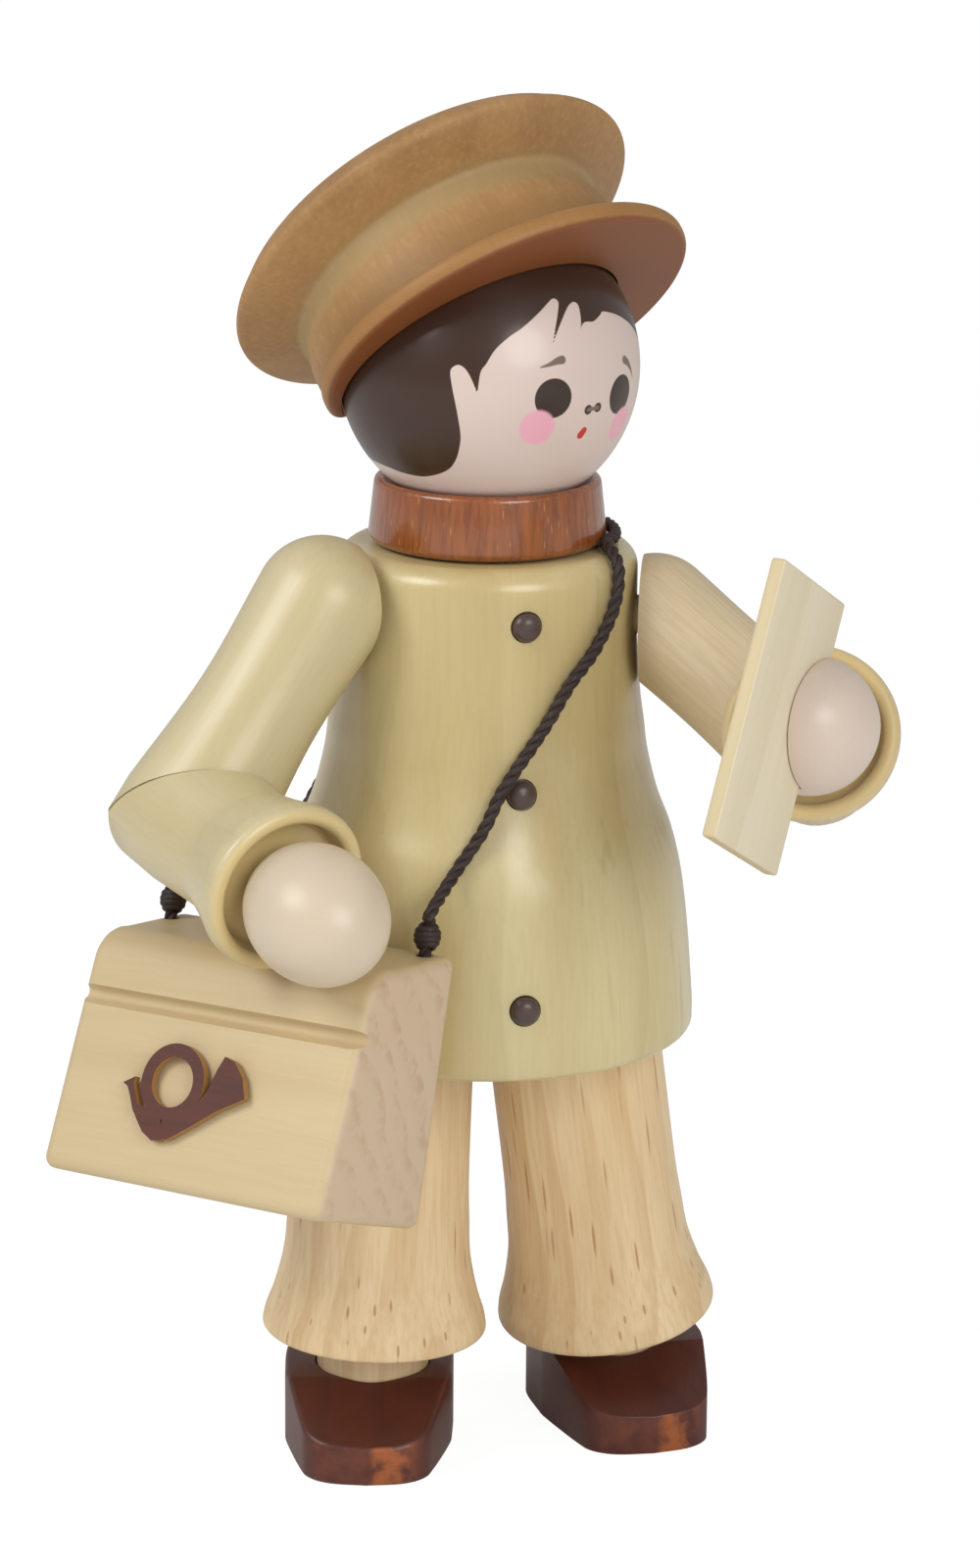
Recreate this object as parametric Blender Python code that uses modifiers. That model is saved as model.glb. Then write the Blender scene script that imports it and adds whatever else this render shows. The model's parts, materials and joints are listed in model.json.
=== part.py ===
"""Wooden postman figurine: turned and cut wooden pieces pegged together.

Metres, +Z up, the figure faces -Y and stands on z = 0. Lengths below are
written in millimetres and turned into metres by MM where they are used.
"""
import math

import bmesh
import bpy
from mathutils import Matrix, Vector

MM = 0.001

# General fits and turning
FIT = 0.10  # play round every peg, seat and let-in end
ROUND_STEPS = 28  # steps of a large turned piece
ARM_STEPS = 22  # steps of an arm, a sleeve or a hand
SMALL_STEPS = 18  # steps of a small turned piece
REACH = 14.0  # half the size of a block that cuts waste away

# Coat: a bell turned from one block (height above the floor, radius)
COAT_BOTTOM = 20.95
COAT_TOP = 44.35
COAT_SHOULDER_R = 7.03
COAT_EDGE = 1.1  # rounding of the top edge
HEM_ROUND = 0.5
COAT_CURVE = [
    (COAT_TOP - COAT_EDGE, COAT_SHOULDER_R),
    (40.0, 7.04),
    (37.4, 7.22),
    (35.9, 7.42),
    (34.4, 7.62),
    (32.4, 8.12),
    (30.6, 8.8),
    (28.5, 9.3),
    (25.6, 9.66),
    (22.2, 9.92),
]

# Collar ring and the peg the head turns on
COLLAR_R = 5.55
COLLAR_TOP_R = 5.3
COLLAR_ROUND = 0.45
COLLAR_HIGH = 3.07  # coat's top to the edge of the dish
DISH_R = COLLAR_TOP_R - 0.5
NECK_PEG_R = 1.25
NECK_PEG_LOW = 41.3

# Head ball, which sits in the collar's dish
HEAD_R = 7.0
HEAD_Z = COAT_TOP + COLLAR_HIGH + math.sqrt((HEAD_R + FIT) ** 2 - DISH_R ** 2)
NECK_PEG_HIGH = HEAD_Z - 3.25

# Cap pushed back on the head, sized from the ball it is hollowed to fit
CAP_TURN = 27.0  # degrees round the upright axis
CROWN_LEAN = 47.5  # degrees the crown's axis leans back from upright
BRIM_LEAN = 40.8
CAP_ASIDE = 0.65  # crown and brim off the head's centre
CROWN_FORWARD = 0.33
CROWN_R = HEAD_R + 3.2
CROWN_TOP = HEAD_R + 3.0  # above the head's centre along the crown's axis
CROWN_WIDE = HEAD_R + 0.07  # height of the widest ring
COVE_R = HEAD_R + 0.75
COVE_AT = HEAD_R - 1.9
BAND_R = HEAD_R + 1.12
BAND_LOW = 0.7
BRIM_R = HEAD_R + 2.17
BRIM_FORWARD = 1.62
BRIM_BACK = 4.9  # flat cut across the back of the brim
BRIM_LOW = 0.89
BRIM_THICK = 0.95
BRIM_EDGE = 0.4  # rounding of its edge

# Arms: shoulder, elbow and hand centres, the same tapering arm on each side
SHOULDER_FORWARD = 19.0  # degrees forward of the side line
ARM_OFF = 0.27  # flat of the arm off the coat, which widens below
SHOULDER_REACH = {"right": 8.93, "left": 7.9}
SHOULDER_Z = {"right": 42.4, "left": 41.06}
ELBOW = {"right": (-14.78, -4.85, 33.27), "left": (13.6, -8.34, 35.47)}
HAND = {"right": (-11.0, -14.7, 31.08), "left": (10.58, -17.77, 39.39)}
ARM_R_TOP = {"right": 3.12, "left": 2.87}
ARM_R_MIDDLE = {"right": 2.94, "left": 2.82}
ARM_R_ELBOW = {"right": 3.44, "left": 3.11}
ELBOW_ROUND = {"right": 3.9, "left": 3.6}  # ball shape left on the elbow's corner
WRIST_R = 3.2
CUFF_R = 4.0
CUFF_LIP = 0.42
CUFF_MOUTH_R = 3.2
CUFF_DEPTH = 1.2
HAND_R = 3.1
HAND_HALF = 3.75
HAND_FLAT = 0.25  # planed off the end that stands in the cuff
SHOULDER_PEG_R = 0.9
SHOULDER_PEG_IN_COAT = 3.0
SHOULDER_PEG_IN_ARM = 2.2

# Letter held in a saw kerf
LETTER_WIDE = 6.85
LETTER_LONG = 12.55
LETTER_THICK = 0.7
LETTER_CENTRE = (8.01, -20.95, 40.67)
LETTER_SHORT_DIR = (0.60, 0.65, -0.47)
LETTER_LONG_DIR = (0.33, 0.34, 0.88)
KERF_PLAY = 0.06

# Trouser legs with their ankles, let into the coat and the shoes
LEG_R = {"right": 4.25, "left": 4.15}
LEG_HEM_R = {"right": 5.4, "left": 5.31}
LEG_TOP = {"right": (-4.62, 0.72, COAT_BOTTOM), "left": (4.36, 0.30, COAT_BOTTOM)}
LEG_HEM = {"right": (-5.15, 0.76, 5.55), "left": (6.74, 2.0, 5.21)}
LEG_LET_IN = 1.2
ANKLE_R = 2.7
ANKLE_LONG = {"right": 4.15, "left": 3.8}

# Shoes
SHOE_TURN = {"right": -13.0, "left": 1.0}
SHOE_TOE = {"right": 7.0, "left": 7.4}  # ahead of the ankle
SHOE_LONG = 10.6
SHOE_WIDE = 8.1
SHOE_TOE_WIDE = 6.2
SHOE_HIGH = 3.75
SHOE_TOE_HIGH = 1.9
SHOE_ROUND = 0.35
SHOE_ASIDE = {"right": -0.05, "left": -0.2}  # shoe's middle beside the ankle

# Buttons: height above the floor and degrees off the front line
BUTTONS = {"top": (41.8, 2.0, 0.0), "middle": (34.1, -0.6, 15.0), "bottom": (24.4, -1.8, 4.0)}
BUTTON_R = 0.65
BUTTON_HIGH = 0.75
BUTTON_SEAT = 0.35

# Satchel block: its own frame has x along the front, -y outward, z up
SATCHEL_AT = (-11.25, -7.45, 15.4)
SATCHEL_TILT = -16.5
SATCHEL_ROLL = -2.9
SATCHEL_TURN = -50.0
SATCHEL_WIDE = 16.3
SATCHEL_HIGH = 11.4
SATCHEL_BACK_HIGH = 12.3
SATCHEL_HEEL = 0.3  # back edge of the foot below its front edge
SATCHEL_DEEP = 7.9
SATCHEL_DEEP_TOP = 6.3
SATCHEL_ROUND = 0.55
SATCHEL_CROWN = 1.9  # rounding of the top front and top back edges
FLAP_LINE = 7.7
FLAP_GROOVE = 0.95
FLAP_GROOVE_DEEP = 0.8

# Horn ornament, cut from a thin sheet and laid on the satchel's front
HORN_THICK = 0.35
HORN_AT = (-1.25, 4.85)  # ring centre on the satchel's front: along, up
HORN_RING_R = 1.78
HORN_EYE_R = 1.16

# Cord strap
CORD_R = 0.3
CORD_OFF = 0.42  # cord's middle off the coat
KNOT_R = 0.62
KNOT_HOLE_R = CORD_R + 0.06
KNOT_OFF = 0.25
STRAP_HOLE_R = CORD_R + FIT
STRAP_HOLE_DEEP = 1.6
STRAP_IN = 1.3
KNOT_LONG = 1.25
STRAP_ENDS = {"front": (6.9, -0.95), "rear": (-7.4, -1.7)}  # along and across the satchel's top

COLOURS = {
    "maple_lacquer": ("#D0C398", 0.35),
    "coat_lacquer": ("#C9BA82", 0.3),
    "beech": ("#D8BD8D", 0.5),
    "collar_stain": ("#9A5230", 0.3),
    "cap_wood": ("#A07A50", 0.4),
    "brim_wood": ("#6B3F22", 0.45),
    "skin_paint": ("#D6C2B6", 0.45),
    "hand_wood": ("#D6C8B5", 0.45),
    "letter_wood": ("#D9CFAE", 0.5),
    "satchel_wood": ("#D3C091", 0.45),
    "horn_wood": ("#6A3C33", 0.5),
    "shoe_wood": ("#4E1B0E", 0.35),
    "button_brown": ("#4C3A34", 0.4),
    "cord_brown": ("#33221E", 0.6),
    "peg_wood": ("#CDB68A", 0.6),
}

for old in list(bpy.data.objects):
    bpy.data.objects.remove(old, do_unlink=True)

figure_parts = bpy.data.collections.new("wooden_figurine")
bpy.context.scene.collection.children.link(figure_parts)
cutting_tools = bpy.data.collections.new("cutters")
bpy.context.scene.collection.children.link(cutting_tools)


def linear(value):
    return value / 12.92 if value <= 0.04045 else ((value + 0.055) / 1.055) ** 2.4


def make_material(name, shade, roughness):
    made = bpy.data.materials.new(name)
    made.use_nodes = True
    surface = made.node_tree.nodes["Principled BSDF"]
    rgb = [linear(int(shade[i:i + 2], 16) / 255.0) for i in (1, 3, 5)]
    surface.inputs["Base Color"].default_value = (rgb[0], rgb[1], rgb[2], 1.0)
    surface.inputs["Roughness"].default_value = roughness
    return made


MATERIALS = {key: make_material(key, shade, rough) for key, (shade, rough) in COLOURS.items()}


def add_object(name, mesh, slot=None):
    """Link a mesh as a part, or as a cutter when it has no material."""
    made = bpy.data.objects.new(name, mesh)
    if slot:
        mesh.materials.append(MATERIALS[slot])
        figure_parts.objects.link(made)
    else:
        cutting_tools.objects.link(made)
        made.hide_render = True
        made.display_type = "WIRE"
    return made


def add_holder(name, place):
    holder = bpy.data.objects.new(name, None)
    holder.empty_display_size = 0.004
    holder.location = Vector(place) * MM
    figure_parts.objects.link(holder)
    return holder


def smooth_line(points, steps):
    """Points of a smooth curve that runs through every given point."""
    pts = [Vector(p) for p in points]
    ends = [2 * pts[0] - pts[1]] + pts + [2 * pts[-1] - pts[-2]]
    out = []
    for i in range(1, len(ends) - 2):
        a, b, c, d = ends[i - 1:i + 3]
        for k in range(steps):
            t = k / steps
            out.append(0.5 * ((2 * b) + (c - a) * t + (2 * a - 5 * b + 4 * c - d) * t * t
                              + (3 * b - a - 3 * c + d) * t * t * t))
    out.append(pts[-1])
    return out


def arc(across, up, radius, start, end, steps):
    """Points (radius, height) of an arc, angles in degrees from outward."""
    out = []
    for k in range(steps + 1):
        turn = math.radians(start + (end - start) * k / steps)
        out.append((across + radius * math.cos(turn), up + radius * math.sin(turn)))
    return out


def turned(name, profile, slot=None, steps=ROUND_STEPS, closed=False):
    """A body of revolution about its own z axis from (radius, height) in mm."""
    mesh = bpy.data.meshes.new(name)
    shape = bmesh.new()
    verts = [shape.verts.new((max(r, 0.0) * MM, 0.0, z * MM)) for r, z in profile]
    for first, second in zip(verts, verts[1:]):
        shape.edges.new((first, second))
    if closed:
        shape.edges.new((verts[-1], verts[0]))
    shape.to_mesh(mesh)
    shape.free()
    made = add_object(name, mesh, slot)
    spin = made.modifiers.new("Turn", "SCREW")
    spin.axis = "Z"
    spin.steps = steps
    spin.render_steps = steps
    spin.use_merge_vertices = True
    spin.merge_threshold = 0.00001
    spin.use_smooth_shade = True
    return made


def block(name, low, high, slot=None):
    """A box between two corners in mm."""
    mesh = bpy.data.meshes.new(name)
    shape = bmesh.new()
    bmesh.ops.create_cube(shape, size=1.0)
    for vert in shape.verts:
        for axis in range(3):
            span = high[axis] - low[axis]
            vert.co[axis] = (low[axis] + (vert.co[axis] + 0.5) * span) * MM
    shape.to_mesh(mesh)
    shape.free()
    return add_object(name, mesh, slot)


def prism(name, outline, low, high, slot=None):
    """A flat outline in mm raised from low to high along z."""
    mesh = bpy.data.meshes.new(name)
    shape = bmesh.new()
    floor = [shape.verts.new((x * MM, y * MM, low * MM)) for x, y in outline]
    face = shape.faces.new(floor)
    raised = bmesh.ops.extrude_face_region(shape, geom=[face])
    top = [item for item in raised["geom"] if isinstance(item, bmesh.types.BMVert)]
    bmesh.ops.translate(shape, verts=top, vec=(0.0, 0.0, (high - low) * MM))
    bmesh.ops.recalc_face_normals(shape, faces=shape.faces)
    shape.to_mesh(mesh)
    shape.free()
    return add_object(name, mesh, slot)


def rod(name, radius, start, end, slot=None, steps=SMALL_STEPS, bevel=0.0):
    """A round peg or drill from one point to another, in mm."""
    start, end = Vector(start), Vector(end)
    long = (end - start).length
    if bevel:
        line = [(0.0, long), (radius - bevel, long), (radius, long - bevel),
                (radius, bevel), (radius - bevel, 0.0), (0.0, 0.0)]
    else:
        line = [(0.0, long), (radius, long), (radius, 0.0), (0.0, 0.0)]
    made = turned(name, line, slot, steps)
    made.location = start * MM
    made.rotation_mode = "QUATERNION"
    made.rotation_quaternion = (end - start).to_track_quat("Z", "Y")
    return made


def cut(target, tool, operation="DIFFERENCE"):
    step = target.modifiers.new("Cut " + tool.name[:40], "BOOLEAN")
    step.operation = operation
    step.solver = "EXACT"
    step.object = tool


def soften(target, width, segments=3, angle=30.0):
    step = target.modifiers.new("Soften", "BEVEL")
    step.width = width * MM
    step.segments = segments
    step.limit_method = "ANGLE"
    step.angle_limit = math.radians(angle)


def place(target, where, matrix=None):
    target.location = Vector(where) * MM
    if matrix is not None:
        target.rotation_mode = "QUATERNION"
        target.rotation_quaternion = matrix.to_quaternion()


def hang_on(target, holder):
    """Ride on a holder that has a place and no rotation of its own."""
    target.location = target.location - holder.location
    target.parent = holder


def coat_radius(height):
    """Radius of the coat's outside at a height, in mm."""
    line = sorted(COAT_CURVE)
    if height <= line[0][0]:
        return line[0][1]
    for (z0, r0), (z1, r1) in zip(line, line[1:]):
        if height <= z1:
            return r0 + (r1 - r0) * (height - z0) / (z1 - z0)
    return line[-1][1]


# Coat
bell = [(r, z) for z, r in COAT_CURVE]
coat_line = [(0.0, COAT_TOP)]
coat_line += arc(COAT_SHOULDER_R - COAT_EDGE, COAT_TOP - COAT_EDGE, COAT_EDGE, 90.0, 15.0, 4)
coat_line += bell
coat_line += arc(COAT_CURVE[-1][1] - HEM_ROUND, COAT_BOTTOM + HEM_ROUND, HEM_ROUND, -15.0, -90.0, 3)
coat_line += [(0.0, COAT_BOTTOM)]
coat = turned("coat", coat_line, "coat_lacquer", 34)

neck_bore = rod("neck_bore", NECK_PEG_R + FIT, (0.0, 0.0, NECK_PEG_LOW - FIT),
                (0.0, 0.0, COAT_TOP + 3.0))
cut(coat, neck_bore)

# Collar ring, dished on top for the head to sit in
cup_r = HEAD_R + FIT
dish_edge_z = COAT_TOP + COLLAR_HIGH
dish_in = NECK_PEG_R + FIT
collar_line = []
for k in range(5):
    across = dish_in + (DISH_R - dish_in) * k / 4
    collar_line.append((across, HEAD_Z - math.sqrt(cup_r ** 2 - across ** 2)))
collar_line += [(DISH_R + 0.12, dish_edge_z + 0.08)]
collar_line += arc(COLLAR_TOP_R - 0.3, dish_edge_z - 0.25, 0.3, 70.0, 0.0, 3)
collar_line += arc(COLLAR_R - COLLAR_ROUND, COAT_TOP + FIT + COLLAR_ROUND, COLLAR_ROUND, 0.0, -90.0, 4)
collar_line += [(dish_in, COAT_TOP + FIT)]
collar = turned("collar", collar_line, "collar_stain", ROUND_STEPS, closed=True)

# Head: its ball turns on the neck peg, and carries the cap
head_turn = add_holder("head_turn", (0.0, 0.0, HEAD_Z))
neck_peg = rod("neck_peg", NECK_PEG_R, (0.0, 0.0, NECK_PEG_LOW), (0.0, 0.0, NECK_PEG_HIGH),
               "peg_wood", SMALL_STEPS, 0.25)
hang_on(neck_peg, head_turn)

bore_r = NECK_PEG_R + FIT
bore_at = math.degrees(math.asin(bore_r / HEAD_R)) - 90.0
head_line = arc(0.0, 0.0, HEAD_R, 90.0, bore_at, 15)
head_line += [(bore_r, NECK_PEG_HIGH + FIT - HEAD_Z), (0.0, NECK_PEG_HIGH + FIT - HEAD_Z)]
head = turned("head", head_line, "skin_paint", 30)
place(head, (0.0, 0.0, HEAD_Z))
hang_on(head, head_turn)

def cap_frame(lean):
    return (Matrix.Rotation(math.radians(CAP_TURN), 3, "Z")
            @ Matrix.Rotation(math.radians(-lean), 3, "X"))


# Crown and brim, both hollowed by one ball a little larger than the head
head_middle = Vector((0.0, 0.0, HEAD_Z))
crown_frame, brim_frame = cap_frame(CROWN_LEAN), cap_frame(BRIM_LEAN)
head_hollow = turned("head_hollow", arc(0.0, 0.0, cup_r + FIT / 2, 90.0, -90.0, 18), None, 28)
place(head_hollow, head_middle, brim_frame)

crown_line = [(0.0, CROWN_TOP)]
crown_line += [(p.x, p.y) for p in smooth_line([
    (1.6, CROWN_TOP - 0.05), (4.6, CROWN_TOP - 0.55), (7.2, CROWN_TOP - 1.45),
    (CROWN_R - 1.2, CROWN_WIDE + 1.1), (CROWN_R - 0.5, CROWN_WIDE + 0.55), (CROWN_R, CROWN_WIDE),
    (CROWN_R - 0.45, CROWN_WIDE - 0.5), (CROWN_R - 0.95, CROWN_WIDE - 0.85),
    (COVE_R + 0.55, CROWN_WIDE - 1.35), (COVE_R, COVE_AT + 0.35), (COVE_R - 0.04, COVE_AT - 0.3),
    (COVE_R + 0.2, COVE_AT - 1.2), (BAND_R - 0.08, 2.5), (BAND_R, BAND_LOW)], 1)]
crown_line += [(0.0, BAND_LOW)]
cap_crown = turned("cap_crown", crown_line, "cap_wood", 32)
place(cap_crown, head_middle + crown_frame @ Vector((CAP_ASIDE, -CROWN_FORWARD, 0.0)), crown_frame)
crown_foot = block("crown_foot", (-REACH, -REACH, -REACH), (REACH, REACH, BRIM_LOW + BRIM_THICK + FIT))
place(crown_foot, head_middle, brim_frame)
cut(cap_crown, crown_foot)
cut(cap_crown, head_hollow)
hang_on(cap_crown, head_turn)

brim_rim = BRIM_R - BRIM_EDGE
brim_line = [(0.0, BRIM_LOW + BRIM_THICK)]
brim_line += arc(brim_rim, BRIM_LOW + BRIM_THICK - BRIM_EDGE, BRIM_EDGE, 90.0, 0.0, 3)
brim_line += arc(brim_rim, BRIM_LOW + BRIM_EDGE, BRIM_EDGE, 0.0, -90.0, 3)
brim_line += [(0.0, BRIM_LOW)]
cap_brim = turned("cap_brim", brim_line, "brim_wood", 32)
place(cap_brim, head_middle + brim_frame @ Vector((CAP_ASIDE, -BRIM_FORWARD, 0.0)), brim_frame)
brim_back = block("brim_back", (-REACH, BRIM_BACK, -REACH), (REACH, BRIM_BACK + REACH, REACH))
place(brim_back, head_middle, brim_frame)
cut(cap_brim, head_hollow)
cut(cap_brim, brim_back)
hang_on(cap_brim, head_turn)


def make_arm(side):
    """Upper arm, sleeve and hand of one side, on a peg in the coat."""
    way = -1.0 if side == "right" else 1.0
    turn = math.radians(SHOULDER_FORWARD)
    outward = Vector((way * math.cos(turn), -math.sin(turn), 0.0))
    shoulder = outward * SHOULDER_REACH[side] + Vector((0.0, 0.0, SHOULDER_Z[side]))
    elbow, hand_at = Vector(ELBOW[side]), Vector(HAND[side])
    down, along = (elbow - shoulder), (hand_at - elbow)
    upper_long, fore_long = down.length, along.length
    down.normalize()
    along.normalize()
    holder = add_holder(side + "_arm_turn", shoulder)

    elbow_r, elbow_ball = ARM_R_ELBOW[side], ELBOW_ROUND[side]
    corner = math.degrees(math.acos(elbow_r / elbow_ball))
    line = arc(0.0, 0.0, ARM_R_TOP[side], 90.0, 0.0, 6)
    line += [(ARM_R_MIDDLE[side], -upper_long / 2), (elbow_r, -upper_long)]
    line += arc(0.0, -upper_long, elbow_ball, -corner, -90.0, 4)
    upper = turned(side + "_upper_arm", line, "maple_lacquer", ARM_STEPS)
    place(upper, shoulder)
    upper.rotation_mode = "QUATERNION"
    upper.rotation_quaternion = (-down).to_track_quat("Z", "Y")

    rim = fore_long - HAND_HALF + HAND_FLAT - FIT + CUFF_DEPTH
    sleeve_line = [(0.0, rim - CUFF_DEPTH), (CUFF_MOUTH_R - 0.35, rim - CUFF_DEPTH)]
    sleeve_line += [(CUFF_MOUTH_R - 0.1, rim - CUFF_DEPTH + 0.3), (CUFF_MOUTH_R, rim - 0.3)]
    sleeve_line += arc(CUFF_R - CUFF_LIP, rim - CUFF_LIP, CUFF_LIP, 120.0, 0.0, 4)
    sleeve_line += [(p.x, p.y) for p in smooth_line([
        (CUFF_R - 0.02, rim - 0.9), (CUFF_R - 0.28, rim - 1.7), (WRIST_R + 0.2, rim - 2.9),
        (WRIST_R, rim - 4.2), (elbow_r, 0.6)], 1)]
    sleeve_line += arc(0.0, 0.0, elbow_ball, -corner, -90.0, 4)
    sleeve = turned(side + "_sleeve", sleeve_line, "maple_lacquer", ARM_STEPS)
    place(sleeve, elbow)
    sleeve.rotation_mode = "QUATERNION"
    sleeve.rotation_quaternion = along.to_track_quat("Z", "Y")

    mitre = (down + along).normalized()
    mitre_frame = mitre.to_track_quat("Z", "Y").to_matrix()
    upper_waste = block(side + "_elbow_cut_upper", (-REACH, -REACH, 0.0), (REACH, REACH, REACH))
    place(upper_waste, elbow, mitre_frame)
    cut(upper, upper_waste)
    sleeve_waste = block(side + "_elbow_cut_sleeve", (-REACH, -REACH, -REACH), (REACH, REACH, FIT))
    place(sleeve_waste, elbow, mitre_frame)
    cut(sleeve, sleeve_waste)

    flat_frame = outward.to_track_quat("Z", "Y").to_matrix()
    side_flat = block(side + "_arm_flat", (-REACH, -REACH, -REACH), (REACH, REACH, 0.0))
    place(side_flat, outward * (COAT_SHOULDER_R + ARM_OFF) + Vector((0.0, 0.0, SHOULDER_Z[side])), flat_frame)
    cut(upper, side_flat)

    level = Vector((0.0, 0.0, SHOULDER_Z[side]))
    face = COAT_SHOULDER_R + ARM_OFF
    inner = outward * (face - SHOULDER_PEG_IN_COAT) + level
    outer = outward * (face + SHOULDER_PEG_IN_ARM) + level
    peg = rod(side + "_shoulder_peg", SHOULDER_PEG_R, inner, outer, "peg_wood", SMALL_STEPS, 0.15)
    arm_bore = rod(side + "_arm_bore", SHOULDER_PEG_R + FIT, outward * (face - 2.0) + level,
                   outer + outward * FIT)
    cut(upper, arm_bore)
    coat_bore = rod(side + "_coat_bore", SHOULDER_PEG_R + FIT, inner - outward * FIT,
                    outward * (face + 2.0) + level)
    cut(coat, coat_bore)

    hand_line = []
    for k in range(13):
        turn_k = math.radians(90.0 - 180.0 * k / 12)
        z = HAND_HALF * math.sin(turn_k)
        if z > -(HAND_HALF - HAND_FLAT):
            hand_line.append((HAND_R * math.cos(turn_k), z))
    flat_at = -(HAND_HALF - HAND_FLAT)
    flat_r = HAND_R * math.sqrt(1.0 - (flat_at / HAND_HALF) ** 2)
    hand_line += [(flat_r, flat_at), (0.0, flat_at)]
    hand = turned(side + "_hand", hand_line, "hand_wood", ARM_STEPS)
    place(hand, hand_at)
    hand.rotation_mode = "QUATERNION"
    hand.rotation_quaternion = along.to_track_quat("Z", "Y")

    for piece in (upper, sleeve, peg, hand):
        hang_on(piece, holder)
    return holder, hand


right_arm_turn, right_hand = make_arm("right")
left_arm_turn, left_hand = make_arm("left")

# Letter: a thin slip that stands in a kerf sawn into the left hand
across_dir = Vector(LETTER_SHORT_DIR).normalized()
long_dir = Vector(LETTER_LONG_DIR)
long_dir = (long_dir - across_dir * long_dir.dot(across_dir)).normalized()
letter_frame = Matrix((across_dir, long_dir, across_dir.cross(long_dir))).transposed()
letter = block("letter", (-LETTER_WIDE / 2, -LETTER_LONG / 2, -LETTER_THICK / 2),
               (LETTER_WIDE / 2, LETTER_LONG / 2, LETTER_THICK / 2), "letter_wood")
place(letter, LETTER_CENTRE, letter_frame)
soften(letter, 0.14, 2)
kerf_half = LETTER_THICK / 2 + KERF_PLAY
kerf = block("letter_kerf", (-LETTER_WIDE, -LETTER_LONG, -kerf_half),
             (LETTER_WIDE / 2 + KERF_PLAY, LETTER_LONG, kerf_half))
place(kerf, LETTER_CENTRE, letter_frame)
cut(left_hand, kerf)
hang_on(letter, left_arm_turn)


def make_leg(side):
    """One trouser leg with its ankle, let into the coat and the shoe."""
    top, hem = Vector(LEG_TOP[side]), Vector(LEG_HEM[side])
    rise = top - hem
    long = rise.length + LEG_LET_IN
    rise.normalize()
    radius, hem_r = LEG_R[side], LEG_HEM_R[side]
    line = [(0.0, long), (radius - 0.2, long), (radius, long - 0.2)]
    line += [(p.x, p.y) for p in smooth_line([
        (radius, long - 2.6), (radius + 0.03, 8.0), (radius + 0.14, 5.6), (radius + 0.26, 3.8),
        (hem_r - 0.5, 2.0), (hem_r - 0.13, 0.9), (hem_r, 0.3)], 1)]
    line += [(hem_r - 0.06, 0.1), (hem_r - 0.25, 0.0), (ANKLE_R, 0.0)]
    line += [(ANKLE_R, -ANKLE_LONG[side] + 0.2), (ANKLE_R - 0.2, -ANKLE_LONG[side]), (0.0, -ANKLE_LONG[side])]
    leg = turned(side + "_trouser_leg", line, "beech", ROUND_STEPS)
    place(leg, hem)
    leg.rotation_mode = "QUATERNION"
    leg.rotation_quaternion = rise.to_track_quat("Z", "Y")
    seat = rod(side + "_leg_seat", radius + FIT, top - rise * 4.0, top + rise * (LEG_LET_IN + FIT),
               None, ROUND_STEPS)
    cut(coat, seat)

    ankle_end = hem - rise * ANKLE_LONG[side]
    ankle_floor = hem - rise * (hem.z / rise.z)
    heel = SHOE_LONG - SHOE_TOE[side]
    toe = SHOE_TOE[side]
    half, toe_half = SHOE_WIDE / 2, SHOE_TOE_WIDE / 2
    outline = [(-half + 1.6, heel), (-half + 0.5, heel - 0.5), (-half, heel - 1.6), (-half, -0.8),
               (-half + 0.12, -2.0), (-toe_half - 0.15, -toe + 2.1), (-toe_half + 0.3, -toe + 0.95),
               (-toe_half + 1.35, -toe + 0.25), (0.0, -toe)]
    outline += [(-x, y) for x, y in reversed(outline[:-1])]
    shoe = prism(side + "_shoe", outline, 0.0, SHOE_HIGH, "shoe_wood")
    turn = Matrix.Rotation(math.radians(SHOE_TURN[side]), 3, "Z")
    spot = Vector((ankle_floor.x + SHOE_ASIDE[side], ankle_floor.y, 0.0))
    place(shoe, spot, turn)
    crease = -ANKLE_R + 0.2
    slope = math.atan2(SHOE_HIGH - SHOE_TOE_HIGH, toe + crease)
    wedge = block(side + "_shoe_slope", (-REACH, -REACH, 0.0), (REACH, 0.0, REACH))
    place(wedge, spot + turn @ Vector((0.0, crease, SHOE_HIGH)),
          turn @ Matrix.Rotation(slope, 3, "X"))
    cut(shoe, wedge)
    soften(shoe, SHOE_ROUND, 2, 24.0)
    socket = rod(side + "_ankle_socket", ANKLE_R + FIT, ankle_end - rise * FIT, hem, None, ROUND_STEPS)
    cut(shoe, socket)
    return leg, shoe


right_leg, right_shoe = make_leg("right")
left_leg, left_shoe = make_leg("left")

# Buttons, each a low dome let into a shallow round seat
for which, (height, off, lean) in BUTTONS.items():
    turn = math.radians(off)
    facing = Vector((math.sin(turn), -math.cos(turn), math.tan(math.radians(lean)))).normalized()
    skin = Vector((math.sin(turn), -math.cos(turn), 0.0)) * coat_radius(height) + Vector((0.0, 0.0, height))
    line = [(0.0, BUTTON_HIGH)]
    line += [(BUTTON_R * 0.4, BUTTON_HIGH - 0.03), (BUTTON_R * 0.75, BUTTON_HIGH - 0.11)]
    line += [(BUTTON_R * 0.95, BUTTON_HIGH - 0.24), (BUTTON_R, BUTTON_HIGH - 0.36), (BUTTON_R, 0.0), (0.0, 0.0)]
    button = turned("button_" + which, line, "button_brown", SMALL_STEPS)
    place(button, skin - facing * (BUTTON_SEAT - FIT))
    button.rotation_mode = "QUATERNION"
    button.rotation_quaternion = facing.to_track_quat("Z", "Y")
    seat = rod("button_seat_" + which, BUTTON_R + FIT, skin - facing * BUTTON_SEAT,
               skin + facing * 1.5)
    cut(coat, seat)

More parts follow.
